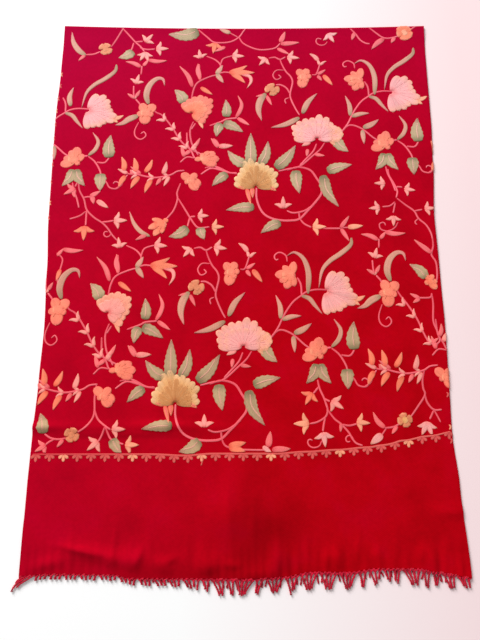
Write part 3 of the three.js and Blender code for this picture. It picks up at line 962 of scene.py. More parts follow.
@dataclass
class Needle:
    """Sews patches onto the cloth: each becomes a low closed pad, ribbed by its rows of links."""

    form: ClothForm
    row_pitch: float = 1.5
    link: float = 1.5
    crest: float = 0.8  # height of a row's middle
    groove: float = 0.3  # and of the groove between two rows
    sunk: float = 0.15  # how deep the outline lies in the cloth
    crown: float = 0.35  # how much higher the middle of a broad patch is
    broad: float = 12.0
    pinch: float = 0.3
    tooth_pitch: float = 9.0
    past_edge: float = 4.6
    most_outside: float = 0.4
    border_gap: Span = (3.0, 8.0)  # what stays clear of the border line, on top and below
    under_gap: float = 4.0
    cut_step: float = 4.0
    root_until: float = 0.34  # the shares of the length where the root's shade ends
    tip_from: Span = (0.58, 0.98)  # and where the tip's begins and is full
    outline_rows: float = 2.2
    outline_tone: float = 0.7
    narrow_tone: float = 0.35  # the same on a patch of three rows or fewer
    uneven: Spot = (0.06, 0.07, 0.06)  # in tone: by patch, by row and by link
    # Painted shade in the grooves and painted highlight on the crests, as tones of the thread colour.
    groove_shade: float = 0.88
    crest_highlight: float = 1.04
    fade: Spot = (0.0, 0.1, 0.17)  # painted cool light: paler and cooler towards the fold, per channel
    cool_light_t: Span = (0.0, 800.0)
    cool_light_share: Span = (1.0, -0.7)
    sewn: int = 0
    cloths: dict[Work, MeshParts] = field(default_factory=dict)

    def border(self, x: Array) -> Array:
        """The border line's t at places across."""
        return between(BORDER_X, BORDER_T, x)

    def sew(self, patch: Patch, under: bool = False, free: bool = False) -> None:
        """Sew one patch.

        A row's crest stands half way between two grooves. Along the row every second mark is
        pinched, by turns, as the links of a chain stitch are. The pad is sunk at its outline and
        closed below.

        Args:
            patch: the patch.
            under: it is on the layer below, where the stitching is coarser.
            free: it may cross the border line.
        """
        work = Work.UNDER if under else patch.work
        coarse = COARSE.get(work, 1.0)
        marks, across, share = trace(patch.spine, self.link * coarse)
        rows = max(1, int(round(patch.width / (self.row_pitch * coarse))))
        columns = 2 * rows + 1
        spread = np.linspace(-1, 1, columns)
        length = len(marks) * self.link * coarse
        bites = 1 + patch.teeth * np.sin(share * length / self.tooth_pitch * 2 * math.pi)
        half = patch.width / 2 * patch.outline.width(share) * bites
        spots = marks[:, None] + across[:, None] * (half[:, None] * spread[None])[..., None]
        x, t = spots[..., 0], spots[..., 1]
        if not free:
            x, t = self.held_in(x, t)
        if x is None:
            return
        self.sewn += 1
        link, row = np.meshgrid(np.arange(len(marks)), np.arange(columns), indexing="ij")
        on_crest = (row % 2 == 1).astype(float)
        pinched = 1 - self.pinch * ((link + row // 2) % 2)
        domed = self.crown * min(1.0, patch.width / self.broad) * (1 - spread[None] ** 2)
        height = self.groove + (self.crest - self.groove) * on_crest * pinched + domed + patch.lift
        inside = (np.abs(spread)[None] < 1) & (link > 0) & (link < len(marks) - 1)
        points = self.form.place(x, t, np.where(inside, height, -self.sunk))
        index = np.arange(link.size).reshape(link.shape)
        below = np.stack([index[:-1, 0], index[:-1, -1], index[1:, -1], index[1:, 0]], axis=-1)
        steps = np.arange(1, columns - 1)
        first = np.stack([np.zeros_like(steps), steps, steps + 1], axis=-1)
        last = np.stack([np.zeros_like(steps), steps + 1, steps], axis=-1) + index[-1, 0]
        # A grid faces up where its way along crossed with its way across points up.
        quads = np.concatenate([grid_quads(*index.shape, flip=True), below[:, ::-1]])
        # Painted cool light: the thread colours turn paler and cooler towards the fold.
        far = between(self.cool_light_t, self.cool_light_share, t)[..., None]
        colours = self.shade(patch.thread, share, rows, link, row) * (1 + far * np.array(self.fade))
        parts = self.cloths.setdefault(work, MeshParts())
        parts.add(points, quads, np.concatenate([first, last]), colours)

    def room(self, x: Array, t: Array) -> tuple[Array, Array, Array]:
        """How far stitching may reach to the left, to the right and along, at places."""
        near = t >= 0
        along = np.abs(t)
        most = self.border(x) - np.where(near, *self.border_gap)
        inset = np.where(near, -self.past_edge, self.form.under_inset + self.under_gap)
        top = np.maximum(np.where(near, t, 0.0), self.form.fold_start)
        flat = np.where(near, self.form.flat_reach(top), 0.0)
        return self.form.left(along) - flat - inset, self.form.right(along) - flat - inset, most

    def held_in(self, x: Array, t: Array) -> tuple[Array | None, Array | None]:
        """Keep a patch inside the border and a little round the long edges, or drop it.

        Args:
            x: its places across.
            t: its places along.

        Returns:
            The kept places, or a pair of None where too much of the patch would be outside.
        """
        left, right, most = self.room(x, t)
        outside = (np.abs(t) > most) | (x < -left) | (x > right)
        if outside.mean() > self.most_outside:
            return None, None
        return np.clip(x, -left, right), np.clip(t, -most, most)

    def inside(self, patch: Patch) -> list[Patch]:
        """Cut a stem where it leaves the cloth's field, and keep what is inside."""
        if patch.outline is not Outline.CORD:
            return [patch]
        marks = trace(patch.spine, self.cut_step)[0]
        left, right, most = self.room(marks[:, 0], marks[:, 1])
        kept = (np.abs(marks[:, 1]) <= most) & (marks[:, 0] >= -left) & (marks[:, 0] <= right)
        ends = np.flatnonzero(np.diff(np.concatenate([[0], kept.astype(int), [0]])))
        runs = [marks[first:last] for first, last in zip(ends[::2], ends[1::2]) if last - first > 2]
        return [replace(patch, spine=tuple(map(point, run))) for run in runs]

    def shade(
        self, thread: Thread, share: Array, rows: int, link: Array, row: Array
    ) -> Array:
        """Thread colours of a patch.

        Root to body over the first third, body to tip over the last two fifths, the outline row in
        its own shade, and a small change from row to row, link to link and patch to patch. Grooves
        get a painted shade and crests a painted highlight.

        Args:
            thread: the skein.
            share: each mark's share of the length.
            rows: rows of stitch.
            link: each point's mark.
            row: each point's column.

        Returns:
            A linear RGB row for each point.
        """
        root, body, tip, edge = map(linear, (thread.root, thread.body, thread.tip, thread.edge))
        early = smooth(0.0, self.root_until, share)[:, None, None]
        late = smooth(*self.tip_from, share)[:, None, None]
        colour = root * (1 - early) + body * early
        colour = colour * (1 - late) + tip * late
        aside = np.abs(row / rows - 1)[..., None]
        outer = smooth(1 - self.outline_rows / max(rows, 2), 1.0, aside)
        outer = outer * (self.outline_tone if rows > 3 else self.narrow_tone)
        colour = colour * (1 - outer) + edge * outer
        by_patch, by_row, by_link = self.uneven
        vary = 1 + by_patch * signed_chance(self.sewn, 3)
        vary = vary + by_row * signed_chance(self.sewn * 31 + row // 2, 4)
        vary = vary + by_link * signed_chance(self.sewn * 17 + link * 5 + row, 5)
        # Painted shade in the grooves, painted highlight on the crests.
        light = np.where(row % 2 == 0, self.groove_shade, self.crest_highlight)
        return colour * (vary * light)[..., None]


# ---------------- embroidery motifs

# How much higher than the others a kind of patch is sewn, so that it lies over what it crosses.
STEM_LIFT = -0.05
LEAF_LIFT = 0.1
RIB_LIFT = 0.5
BUD_LIFT = 0.1
CUP_LIFT = 0.25
HEART_LIFT = 0.5
NEXT_LIFT = 0.14  # every second petal lies this much over its neighbours


def petal(
    places: tuple[Array, ...],
    width: float,
    thread: Thread,
    outline: Outline,
    lift: float,
) -> Patch:
    """One patch of a flower.

    Args:
        places: its spine, from the root to the tip.
        width: its full width.
        thread: its skein.
        outline: its form.
        lift: how high it lies over the first petals.

    Returns:
        The patch.
    """
    return Patch(tuple(map(point, places)), width, thread, outline, lift, Work.FLOWERS)


@dataclass(frozen=True)
class Leaf:
    """One leaf or small petal from base to tip, its middle moved sideways by a share."""

    base: Place
    tip: Place
    width: float = 9.0
    bend: float = 0.0
    thread: Thread = ROSE
    outline: Outline = Outline.LEAF
    toothed_from: float = 15.0  # a heart leaf wider than this has a toothed edge
    teeth: float = 0.06
    rib_width: float = 3.2
    rib_ends: Span = (0.1, 0.8)

    def patches(self) -> list[Patch]:
        """The leaf as one patch, and its midrib if its thread has a vein thread."""
        base, tip = np.array(self.base, float), np.array(self.tip, float)
        run = tip - base
        middle = (base + tip) / 2 + self.bend * np.array([-run[1], run[0]])
        spine = (self.base, point(middle), self.tip)
        heart = self.outline is Outline.HEART
        teeth = self.teeth if heart and self.width > self.toothed_from else 0.0
        made = [Patch(spine, self.width, self.thread, self.outline, LEAF_LIFT, teeth=teeth)]
        if heart and self.thread in VEINS:
            start, end = (base + share * run for share in self.rib_ends)
            rib = tuple(map(point, (start, 0.85 * middle + 0.15 * base, end)))
            made.append(Patch(rib, self.rib_width, VEINS[self.thread], Outline.CORD, RIB_LIFT))
        return made


def sage(base: Place, tip: Place, width: float, bend: float = 0.06) -> Leaf:
    """A broad sage leaf with a rosy tip."""
    return Leaf(base, tip, width, bend, SAGE, Outline.HEART)


@dataclass(frozen=True)
class Blade:
    """A long curved leaf along several points."""

    points: Path
    width: float = 11.0
    thread: Thread = FERN

    def patches(self) -> list[Patch]:
        """The leaf as one patch."""
        return [Patch(self.points, self.width, self.thread, Outline.LEAF, LEAF_LIFT)]


@dataclass(frozen=True)
class Vine:
    """A stem, tendril or spiral: a few rows of stitch along points."""

    points: Path
    width: float = 3.3
    thread: Thread = VINE

    def patches(self) -> list[Patch]:
        """The stem as one patch."""
        return [Patch(self.points, self.width, self.thread, Outline.CORD, STEM_LIFT, Work.VINES)]


@dataclass(frozen=True)
class SidePetals:
    """Two petals from one foot, to both sides, with their tips bent outwards.

    The angles are degrees from straight ahead, and the lengths are shares of the flower's size.
    """

    lean: float
    tip_lean: float
    middle: float
    bend: float
    tip: float
    width: float

    def patches(self, foot: Array, turn: float, size: float, thread: Thread) -> list[Patch]:
        """The two petals.

        Args:
            foot: where both start.
            turn: the way ahead, in degrees.
            size: the flower's size.
            thread: its skein.

        Returns:
            One patch a petal.
        """
        made = []
        for side in (-1, 1):
            way = toward(turn + self.lean * side) * size
            tip = foot + way * self.bend + toward(turn + self.tip_lean * side) * size * self.tip
            places = (foot, foot + way * self.middle, tip)
            made.append(petal(places, size * self.width, thread, Outline.LEAF, BUD_LIFT))
        return made


STAR_SIDES = SidePetals(lean=52, tip_lean=98, middle=0.32, bend=0.46, tip=0.2, width=0.27)
BUD_SIDES = SidePetals(lean=30, tip_lean=62, middle=0.6, bend=0.7, tip=0.3, width=0.34)


@dataclass(frozen=True)
class Star:
    """A small cup flower: pointed petals to both sides and ahead, and the stem behind."""

    at: Place
    turn: float
    size: float = 29.0
    thread: Thread = PINK
    ahead: int = 1
    spread: float = 44.0  # degrees between two petals ahead
    foot: float = 0.24  # how far the foot lies behind the flower's place, over its size
    cup: Spot = (-0.06, 0.78, 0.32)  # where a petal ahead starts and ends from there, and its width

    def patches(self) -> list[Patch]:
        """The petals, all from the flower's foot."""
        foot = np.array(self.at, float) - toward(self.turn) * self.size * self.foot
        start, end, width = self.cup
        made = STAR_SIDES.patches(foot, self.turn, self.size, self.thread)
        for k in range(self.ahead):
            way = toward(self.turn + (k - (self.ahead - 1) / 2) * self.spread) * self.size
            places = (foot + way * start, foot + way * end)
            made.append(petal(places, self.size * width, self.thread, Outline.LEAF, CUP_LIFT))
        return made


@dataclass(frozen=True)
class Bud:
    """Two small petals in a V, on a pointed base."""

    at: Place
    turn: float
    size: float = 17.0
    thread: Thread = PINK

    def patches(self) -> list[Patch]:
        """The two petals."""
        return BUD_SIDES.patches(np.array(self.at, float), self.turn, self.size, self.thread)


def veins(
    hub: Array,
    tips: Array,
    thread: Thread,
    lift: float,
    ends: Span = (0.3, 0.82),
    width: float = 1.5,
) -> list[Patch]:
    """Thin lines from near a flower's hub towards each gap between two petals.

    Args:
        hub: where the petals start.
        tips: the petals' tips, in order round the flower.
        thread: the petals' thread.
        lift: how high the lines lie.
        ends: where a line starts and ends, as shares of the way to its gap.
        width: a line's width.

    Returns:
        One patch a line.
    """
    gaps = (tips[:-1] + tips[1:]) / 2 - hub
    lines = [tuple(hub + share * gap for share in ends) for gap in gaps]
    return [petal(places, width, VEINS[thread], Outline.CORD, lift) for places in lines]


@dataclass(frozen=True)
class Fan:
    """A half-open flower seen from the side: frilled petals that fan from a hub, and a heart.

    A petal's tip lies ahead of the hub by reach times (base plus the rest times cos a), and beside
    it by half the width times sin a, with a from minus to plus the sweep in degrees.
    """

    hub: Place
    turn: float
    reach: float
    width: float
    petals: int = 5
    thread: Thread = CORAL
    heart: Thread | None = None
    base: float = 0.4
    sweep: float = 80.0
    ragged: float = 0.1
    overlap: float = 1.24  # a petal's width over the space between two tips
    heart_size: float = 0.74
    start: float = 0.08  # where a petal starts, as a share of the way to its tip
    lifts: Spot = (0.15, 0.45, 0.45)  # of the petals, of the heart, and of the lines over them

    def patches(self) -> list[Patch]:
        """Petals from one side to the other, then the heart's petals on them."""
        hub = np.array(self.hub, float)
        ahead, beside = toward(self.turn), toward(self.turn + 90)
        made = []
        low, high, over = self.lifts
        sets = [(self.thread, self.petals, 1.0, low)]
        if self.heart:
            sets.append((self.heart, max(3, self.petals - 2), self.heart_size, high))
        for thread, count, size, lift in sets:
            angles = np.radians(np.linspace(-self.sweep, self.sweep, count))
            uneven = size * (1 + self.ragged * signed_chance(np.arange(count) + self.reach, 9))
            forward = self.reach * (self.base + (1 - self.base) * np.cos(angles)) * uneven
            sideways = self.width / 2 * np.sin(angles) * uneven
            tips = hub + forward[:, None] * ahead + sideways[:, None] * beside
            width = self.overlap * float(np.linalg.norm(np.diff(tips, axis=0), axis=1).mean())
            for k, tip in enumerate(tips):
                places = (hub + self.start * (tip - hub), tip)
                raised = lift + NEXT_LIFT * (k % 2)
                made.append(petal(places, width, thread, Outline.PETAL, raised))
            if thread in VEINS:
                made.extend(veins(hub, tips, thread, lift + over))
        return made


@dataclass(frozen=True)
class Bloom:
    """An open flower: scalloped petals all round an oval, and a heart of its own shade."""

    at: Place
    wide: float
    deep: float
    petals: int = 11
    thread: Thread = GOLD
    heart: Thread = AMBER
    heart_share: float = 0.62
    turn: float = 0.0
    overlap: float = 1.16  # a petal's width over its share of the oval's length
    widest: float = 1.1  # and over its own length, at most
    start: float = 0.12  # where a petal starts, as a share of the way to its tip
    longer: float = 0.05  # every second petal
    lift: float = 0.2

    def patches(self) -> list[Patch]:
        """Petals round the oval, then the heart as one broad patch."""
        middle = np.array(self.at, float)
        ways = (toward(self.turn) * self.wide, toward(self.turn + 90) * self.deep)
        even = 2 * math.pi * math.sqrt(self.wide * self.deep) / self.petals * self.overlap
        made = []
        for k in range(self.petals):
            angle = 2 * math.pi * (k + 0.5) / self.petals
            out = math.cos(angle) * ways[0] + math.sin(angle) * ways[1]
            places = (middle + out * self.start, middle + out * (1 + self.longer * (k % 2)))
            width = min(even, float(np.linalg.norm(out)) * self.widest)
            raised = self.lift + NEXT_LIFT * (k % 2)
            made.append(petal(places, width, self.thread, Outline.PETAL, raised))
        out = ways[0] * self.heart_share
        width = 2 * self.deep * self.heart_share
        places = (middle - out, middle, middle + out)
        return [*made, petal(places, width, self.heart, Outline.OVAL, HEART_LIFT)]


@dataclass(frozen=True)
class Posy:
    """A flower of a few petals, each from the hub to its own tip, so no side is like another."""

    middle: Place
    hub: Place  # from the middle, as the tips are
    tips: Path
    thread: Thread = POSY
    plump: float = 0.62  # a petal's width as a share of its length
    least: float = 10.0  # and at least this
    core: float = 0.5  # the joined middle's reach, as a share of the petals' length
    core_width: float = 1.7  # and its width over that reach
    start: float = -0.06  # where a petal starts, as a share of the way to its tip
    lifts: Row = (0.15, 0.16, 0.42, 0.95)  # petal, every second one, middle, lines

    def patches(self) -> list[Patch]:
        """The petals in turn, the middle that joins them, and the lines between them."""
        hub = np.array(self.middle, float) + np.array(self.hub, float)
        tips = np.array(self.middle, float) + np.array(self.tips, float)
        lengths = np.linalg.norm(tips - hub, axis=1)
        low, step, middle, top = self.lifts
        made = []
        for k, (tip, length) in enumerate(zip(tips, lengths)):
            width = max(self.least, self.plump * float(length))
            places = (hub + (tip - hub) * self.start, tip)
            made.append(petal(places, width, self.thread, Outline.LOBE, low + step * (k % 2)))
        centre = (hub + tips.mean(axis=0)) / 2
        reach = float(lengths.mean()) * self.core
        places = (centre - (reach, 0), centre + (reach, 0))
        made.append(petal(places, self.core_width * reach, self.thread, Outline.OVAL, middle))
        order = np.argsort(np.arctan2(*(tips - hub).T[::-1]))
        return made + veins(hub, tips[order], self.thread, top)


Motif = Leaf | Blade | Vine | Star | Bud | Fan | Bloom | Posy


@dataclass(frozen=True)
class Spray:
    """A group of motifs that repeats over the cloth, and the copy that its places belong to."""

    name: str
    home: Copy
    motifs: tuple[Motif, ...]
    left_out: tuple[Copy, ...] = ()  # copies that are sewn otherwise
    only: tuple[Copy, ...] = ()  # the only copies, where it isn't repeated
    coral: tuple[Copy, ...] = ()  # copies whose pale flowers are coral

    def is_sewn(self, copy: Copy) -> bool:
        """Whether the spray is sewn at a copy."""
        return copy not in self.left_out and (not self.only or copy in self.only)


# The pattern repeats by these two moves. A spray's places are those of the copy that is its home.
REPEAT_A = np.array([-137.0, 390.0])
REPEAT_B = np.array([572.0, -32.0])

SPRAYS = (
    Spray("peony", (0, 0), (
        sage((2, 298), (-31, 268), 20, -0.08),
        sage((12, 298), (12, 232), 22, 0.0),
        sage((29, 298), (44, 249), 19, 0.08),
        sage((57, 304), (95, 258), 22, 0.06),
        sage((18, 380), (-33, 386), 19, 0.04),
        sage((94, 308), (100, 354), 22, 0.04),
        sage((-31, 314), (-59, 339), 18, 0.04),
        sage((151, 310), (197, 297), 20, -0.04),
        sage((143, 318), (170, 380), 21, 0.1),
        Leaf((4, 340), (-13, 341), 12, 0, CORAL, Outline.HEART),
        Leaf((44, 338), (58, 349), 10, 0, CORAL, Outline.HEART),
        Leaf((4, 343), (12, 377), 8, 0, CORAL, Outline.HEART),
        Leaf((14, 342), (15, 363), 9, 0, CORAL, Outline.HEART),
        Vine(((78, 308), (98, 302), (120, 308), (132, 325), (140, 340), (139, 355), (127, 372),
            (113, 388), (98, 403), (80, 406), (62, 405), (47, 401), (35, 393), (27, 380), (22, 362),
            (22, 342)), 4.1),
        Vine(((131, 370), (112, 385), (98, 390), (86, 391), (76, 387)), 3.3),
        Vine(((98, 390), (99, 403))),
        Vine(((-12, 315), (-30, 312), (-45, 307), (-62, 304), (-80, 316))),
        Star((70, 375), -90),
        Fan((21, 342), -88, 55, 78, 13, GOLD, AMBER, 0.3, 106),
    )),
    Spray("ring tail", (0, 0), (
        sage((65, 409), (29, 430), 19, 0.06),
        Vine(((99, 402), (107, 412), (120, 419))),
        Star((130, 418), 0, 30, PEACH),
        Vine(((140, 421), (158, 421), (172, 421))),
        Leaf((171, 421), (188, 397), 8),
        Vine(((172, 420), (186, 419)), 2.6),
        Leaf((184, 419), (212, 416), 10, 0, PEACH),
        Leaf((172, 421), (186, 445), 8),
        Blade(((190, 438), (188, 452), (170, 468), (150, 482), (136, 500), (129, 532)), 9, FERN),
    ), left_out=((1, 0),)),
    Spray("corals", (0, 0), (
        Posy((-72, 284), (-6, 0), ((-20, 2), (4, 13), (-5, -12), (21, 14), (8, -15), (26, 1),
            (19, -12)), POSY, 0.6),
        Posy((-98, 328), (-1, -1), ((-17, -14), (11, -14), (19, 10), (13, 19), (-11, 6), (2, 8)),
            POSY, 0.8),
        Leaf((-47, 262), (-62, 242), 8),
        Leaf((-48, 259), (-21, 258), 10, 0, PINK),
        Vine(((-107, 228), (-105, 255), (-97, 270), (-93, 280), (-88, 285))),
        Leaf((-97, 268), (-87, 249), 9, 0, PINK),
        Vine(((-65, 297), (-62, 304))),
        Vine(((-90, 283), (-106, 281), (-118, 292)), 3.0),
        Leaf((-110, 281), (-117, 258), 8),
    )),
    Spray("sprig", (1, 1), (
        Vine(((208, 663), (222, 672), (240, 674), (256, 678), (275, 680), (300, 675), (312, 668),
            (326, 666))),
        Leaf((214, 668), (209, 638), 10.5, 0.1, CORAL),
        Leaf((222, 672), (203, 663), 7.5, 0, PINK),
        Leaf((236, 670), (232, 640), 11, 0.06, CORAL),
        Leaf((253, 670), (266, 644), 10, 0.06, CORAL),
        Leaf((246, 673), (226, 658), 7),
        Leaf((286, 674), (292, 648), 9.5, 0.05, PINK),
        Bud((240, 674), 182, 16),
        Bud((270, 681), 188, 16),
        Bud((296, 677), 180, 15),
        Leaf((218, 676), (206, 700), 10, 0.05, CORAL),
        Leaf((243, 678), (228, 702), 10.5, 0.05, CORAL),
        Leaf((266, 684), (254, 711), 10, 0.05, CORAL),
        Leaf((283, 681), (274, 696), 7.5),
        Leaf((298, 678), (288, 698), 7.5, 0, PINK),
        Leaf((231, 675), (226, 664), 6),
    )),
    Spray("hearts", (0, 0), (
        Vine(((-116, 333), (-122, 352), (-121, 365), (-127, 385), (-138, 400), (-150, 411))),
        Posy((-152, 417), (8, -8), ((-14, -14), (-20, 4), (-10, 18), (4, 14), (14, -15)), CORAL,
            0.44),
        Blade(((-168, 436), (-185, 427), (-198, 411), (-207, 388)), 8, FERN),
        Leaf((-173, 432), (-194, 443), 8),
        Vine(((-120, 363), (-105, 388), (-98, 400), (-88, 415), (-80, 420), (-62, 418))),
        Vine(((-98, 399), (-88, 398)), 3.3),
        Star((-77, 397), 0, 25),
        Star((-51, 418), 0, 27, PEACH),
        Vine(((-98, 400), (-102, 418)), 3.3),
        sage((-101, 419), (-135, 437), 20, -0.1),
        sage((-80, 419), (-71, 442), 18, 0.05),
    ), left_out=((1, 0), (1, 1))),
    Spray("spiral", (1, 0), (
        Star((-99, 464), 130, 27),
        Star((-46, 457), 10, 29),
        Vine(((-90, 459), (-78, 457), (-68, 462), (-57, 456))),
        Vine(((-68, 462), (-64, 475), (-57, 490), (-48, 502), (-45, 515), (-50, 540), (-48, 553),
            (-40, 572), (-33, 585))),
        Vine(((-60, 487), (-75, 487), (-82, 498), (-76, 508), (-67, 503), (-72, 497)), 2.6),
        Posy((-24, 502), (0, 0), ((-12, 4), (9, 12), (-4, 25), (16, -1), (-11, -17), (9, -18)),
            POSY, 0.8),
        Vine(((-50, 540), (-57, 527), (-68, 520), (-77, 520))),
        Bloom((-84, 530), 16, 12, 4, TAN, TAN, 0.5, 40),
        Blade(((-96, 538), (-107, 555), (-110, 575), (-104, 597)), 13, FERN),
        Leaf((-95, 543), (-85, 564), 7),
        Leaf((-98, 542), (-115, 545), 6),
        Vine(((-52, 548), (-60, 552), (-58, 561)), 2.6),
        Vine(((-8, 497), (0, 497), (5, 485), (8, 474)), 3.0),
        Bud((8, 476), -75),
        Leaf((6, 466), (-11, 449), 9, 0.1, PINK),
        Leaf((3, 497), (19, 486), 7),
        Leaf((3, 499), (11, 511), 7),
        Leaf((14, 498), (31, 521), 10, 0, CORAL),
    )),
    Spray("dahlia", (1, 0), (
        Fan((-2, 636), -92, 49, 90, 12, BLUSH, BLUSH, 0.3, 108),
        Fan((8, 632), -20, 38, 34, 4, PEACH, None, 0.5, 60),
        Leaf((-14, 640), (-31, 649), 9, 0, PINK),
        Leaf((22, 634), (32, 649), 9, 0, PEACH),
        Leaf((-28, 582), (1, 539), 11, -0.08, FERN),
        Leaf((-33, 590), (-87, 611), 11, -0.06, FERN),
        sage((32, 634), (55, 661), 21, 0.08),
        Vine(((-3, 644), (-10, 660), (-25, 677), (-35, 688))),
        Vine(((12, 642), (3, 656), (-12, 670), (-35, 690), (-55, 695), (-75, 700))),
        Leaf((-8, 666), (11, 669), 7),
        Leaf((-20, 655), (-22, 671), 7),
        Vine(((43, 622), (55, 608), (66, 606), (80, 612), (90, 620), (103, 632), (113, 638))),
        Leaf((84, 612), (115, 594), 11, 0.05, FERN),
        Leaf((83, 616), (85, 645), 9, 0, FERN),
    )),
    Spray("hip", (1, 0), (
        Posy((118, 640), (5, 8), ((-21, 15), (15, 14), (-16, 0), (-4, -15), (22, -6), (9, -22)),
            POSY, 0.66),
        sage((122, 664), (103, 697), 19, -0.1),
        sage((126, 664), (145, 697), 19, 0.1),
        Vine(((122, 690), (125, 705), (132, 722), (137, 740))),
        Vine(((132, 638), (147, 636)), 3.7),
        Blade(((147, 636), (160, 622), (164, 605), (153, 586)), 8, FERN),
        Vine(((147, 637), (160, 648), (170, 665), (173, 676))),
        sage((172, 672), (173, 707), 22, 0.0),
        Vine(((163, 649), (178, 650), (186, 640))),
        sage((186, 640), (187, 591), 23, -0.05),
        Vine(((176, 680), (184, 690), (190, 700), (203, 702), (208, 693), (200, 688), (196, 693)),
            2.8),
        Vine(((200, 702), (210, 696), (215, 684), (222, 674)), 3.0),
    )),
    Spray("cascade", (0, 0), (
        Vine(((263, 305), (264, 318), (272, 335), (277, 350), (274, 363))),
        Star((249, 334), 180, 25),
        Vine(((273, 345), (278, 341), (287, 342)), 3.0),
        Star((297, 346), 10, 25),
        Vine(((272, 370), (262, 378), (248, 380)), 3.0),
        Star((237, 382), 175, 25),
        Vine(((272, 372), (267, 392)), 3.0),
        Star((267, 404), 92, 25),
        Vine(((305, 388), (320, 385)), 3.0),
        Star((331, 383), -5, 25),
        Vine(((275, 409), (268, 420), (255, 426), (243, 422), (242, 412), (250, 410), (252, 416)),
            2.6),
        Vine(((312, 402), (305, 409), (309, 414)), 2.6),
        Vine(((275, 363), (290, 376), (305, 388), (312, 402), (325, 415), (332, 430), (334, 442))),
    ), left_out=((1, 0), (0, -1))),
    Spray("right edge", (0, 0), (
        Vine(((334, 438), (334, 455), (330, 470), (337, 485), (337, 510), (332, 527))),
        Leaf((331, 468), (301, 442), 9),
        Posy((325, 519), (-3, -1), ((-7, -13), (6, -12), (12, 1), (10, 14), (-10, 6)), CORAL, 0.7),
        sage((318, 513), (290, 488), 19, 0.1),
        Vine(((325, 540), (322, 548), (302, 549))),
        Leaf((304, 550), (287, 541), 7),
        Leaf((304, 550), (291, 558), 7),
        Vine(((325, 540), (326, 560), (324, 590), (330, 610), (332, 625), (322, 632))),
        Leaf((331, 618), (337, 594), 8, 0.1),
    ), only=((0, 0),)),
    Spray("left cascade", (0, 0), (
        Vine(((-302, 318), (-300, 345), (-290, 365), (-284, 385), (-270, 400), (-255, 410),
            (-245, 420), (-235, 434), (-225, 445))),
        Vine(((-303, 330), (-308, 341))),
        Star((-314, 348), 150, 29, ROSE),
        Vine(((-292, 362), (-282, 360), (-275, 362))),
        Leaf((-280, 360), (-261, 349), 9),
        Leaf((-276, 358), (-272, 374), 9),
        Leaf((-267, 367), (-245, 382), 10, 0, PINK),
        Vine(((-285, 388), (-296, 397), (-314, 403)), 3.0),
        Vine(((-284, 386), (-284, 416))),
        Star((-286, 426), 90, 34, CORAL),
        Vine(((-256, 409), (-245, 408), (-234, 406))),
        Star((-226, 406), 0, 30, PINK),
        Vine(((-236, 430), (-243, 437), (-250, 434), (-249, 427), (-243, 428)), 2.5),
    ), only=((0, 0),)),
    Spray("coral flower", (1, 1), (
        Posy((250, 538), (0, 0), ((-17, 5), (15, 7), (-2, 28), (-9, -21), (18, -17)), POSY, 0.78),
        Blade(((255, 520), (250, 500), (255, 480), (268, 467), (280, 468), (284, 482)), 12, FERN),
        Blade(((237, 545), (220, 553), (208, 563), (194, 568)), 12, FERN),
        Vine(((238, 560), (231, 580), (233, 594), (243, 600), (252, 592), (248, 583), (242, 588)),
            2.6),
        Vine(((240, 524), (238, 518), (230, 508))),
        Bud((229, 508), -105, 12),
        Leaf((229, 506), (214, 497), 7),
        Leaf((230, 504), (238, 489), 7),
        Vine(((229, 505), (226, 498), (225, 480)), 3.0),
        Star((231, 470), -75, 25),
        Vine(((238, 458), (239, 440)), 3.0),
        Leaf((238, 443), (207, 432), 9, 0.08),
        Leaf((241, 441), (252, 427), 7),
        Leaf((250, 428), (287, 430), 9, 0.06),
    )),
    Spray("bud chain", (1, 0), (
        Vine(((-310, 560), (-302, 570), (-290, 578), (-272, 605), (-260, 628), (-248, 645),
            (-235, 655), (-215, 665), (-205, 666))),
        Bud((-284, 590), -138, 19),
        Bud((-267, 612), -132, 19),
        Bud((-256, 635), -128, 19),
        Bud((-243, 654), -120, 18),
        Leaf((-236, 657), (-250, 668), 8),
    ), left_out=((1, 1),)),
    Spray("edge chain", (1, 1), (
        Vine(((262, 529), (270, 544), (281, 560), (296, 586), (306, 612), (315, 628), (329, 632))),
        Bud((277, 563), -138, 17),
        Bud((293, 584), -132, 17),
        Bud((304, 609), -128, 17),
        Bud((318, 630), -145, 16),
        Leaf((318, 629), (331, 619), 6),
    ), only=((1, 1),)),
    Spray("rose fan", (1, 0), (
        Fan((-237, 577), -42, 46, 62, 10, MIXED, PINK, 0.1, 88),
        Leaf((-222, 590), (-214, 611), 8, 0, PEACH),
        sage((-250, 552), (-269, 523), 22, 0.1),
        Vine(((-237, 548), (-233, 525), (-225, 510), (-205, 500), (-188, 495))),
        Vine(((-232, 594), (-238, 615), (-235, 640), (-228, 655), (-222, 667))),
        Vine(((-228, 598), (-236, 612)), 3.0),
        Leaf((-229, 651), (-219, 631), 7),
        Vine(((-202, 605), (-180, 597), (-170, 592), (-150, 590))),
        sage((-171, 588), (-172, 550), 18, 0.05),
        sage((-176, 600), (-139, 620), 19, -0.05),
        sage((-181, 600), (-189, 629), 18, 0.05),
        Blade(((-153, 590), (-145, 575), (-142, 560), (-149, 542)), 8, ROSE),
        Leaf((-150, 590), (-127, 606), 8),
        Leaf((-235, 520), (-261, 474), 9, 0.08),
        Leaf((-221, 506), (-226, 469), 8),
        Leaf((-220, 521), (-197, 538), 9, 0, CORAL),
        Vine(((-188, 494), (-176, 490), (-163, 491)), 3.1),
        Leaf((-166, 491), (-131, 476), 11, 0.06, CORAL),
        Leaf((-166, 491), (-117, 492), 14, 0, CORAL),
        Leaf((-162, 492), (-135, 515), 11, -0.05, CORAL),
        Blade(((-142, 496), (-127, 500), (-124, 512), (-132, 527)), 7, PINK),
        Leaf((-190, 495), (-178, 474), 10, 0, FERN),
        Leaf((-190, 493), (-176, 514), 10, 0, FERN),
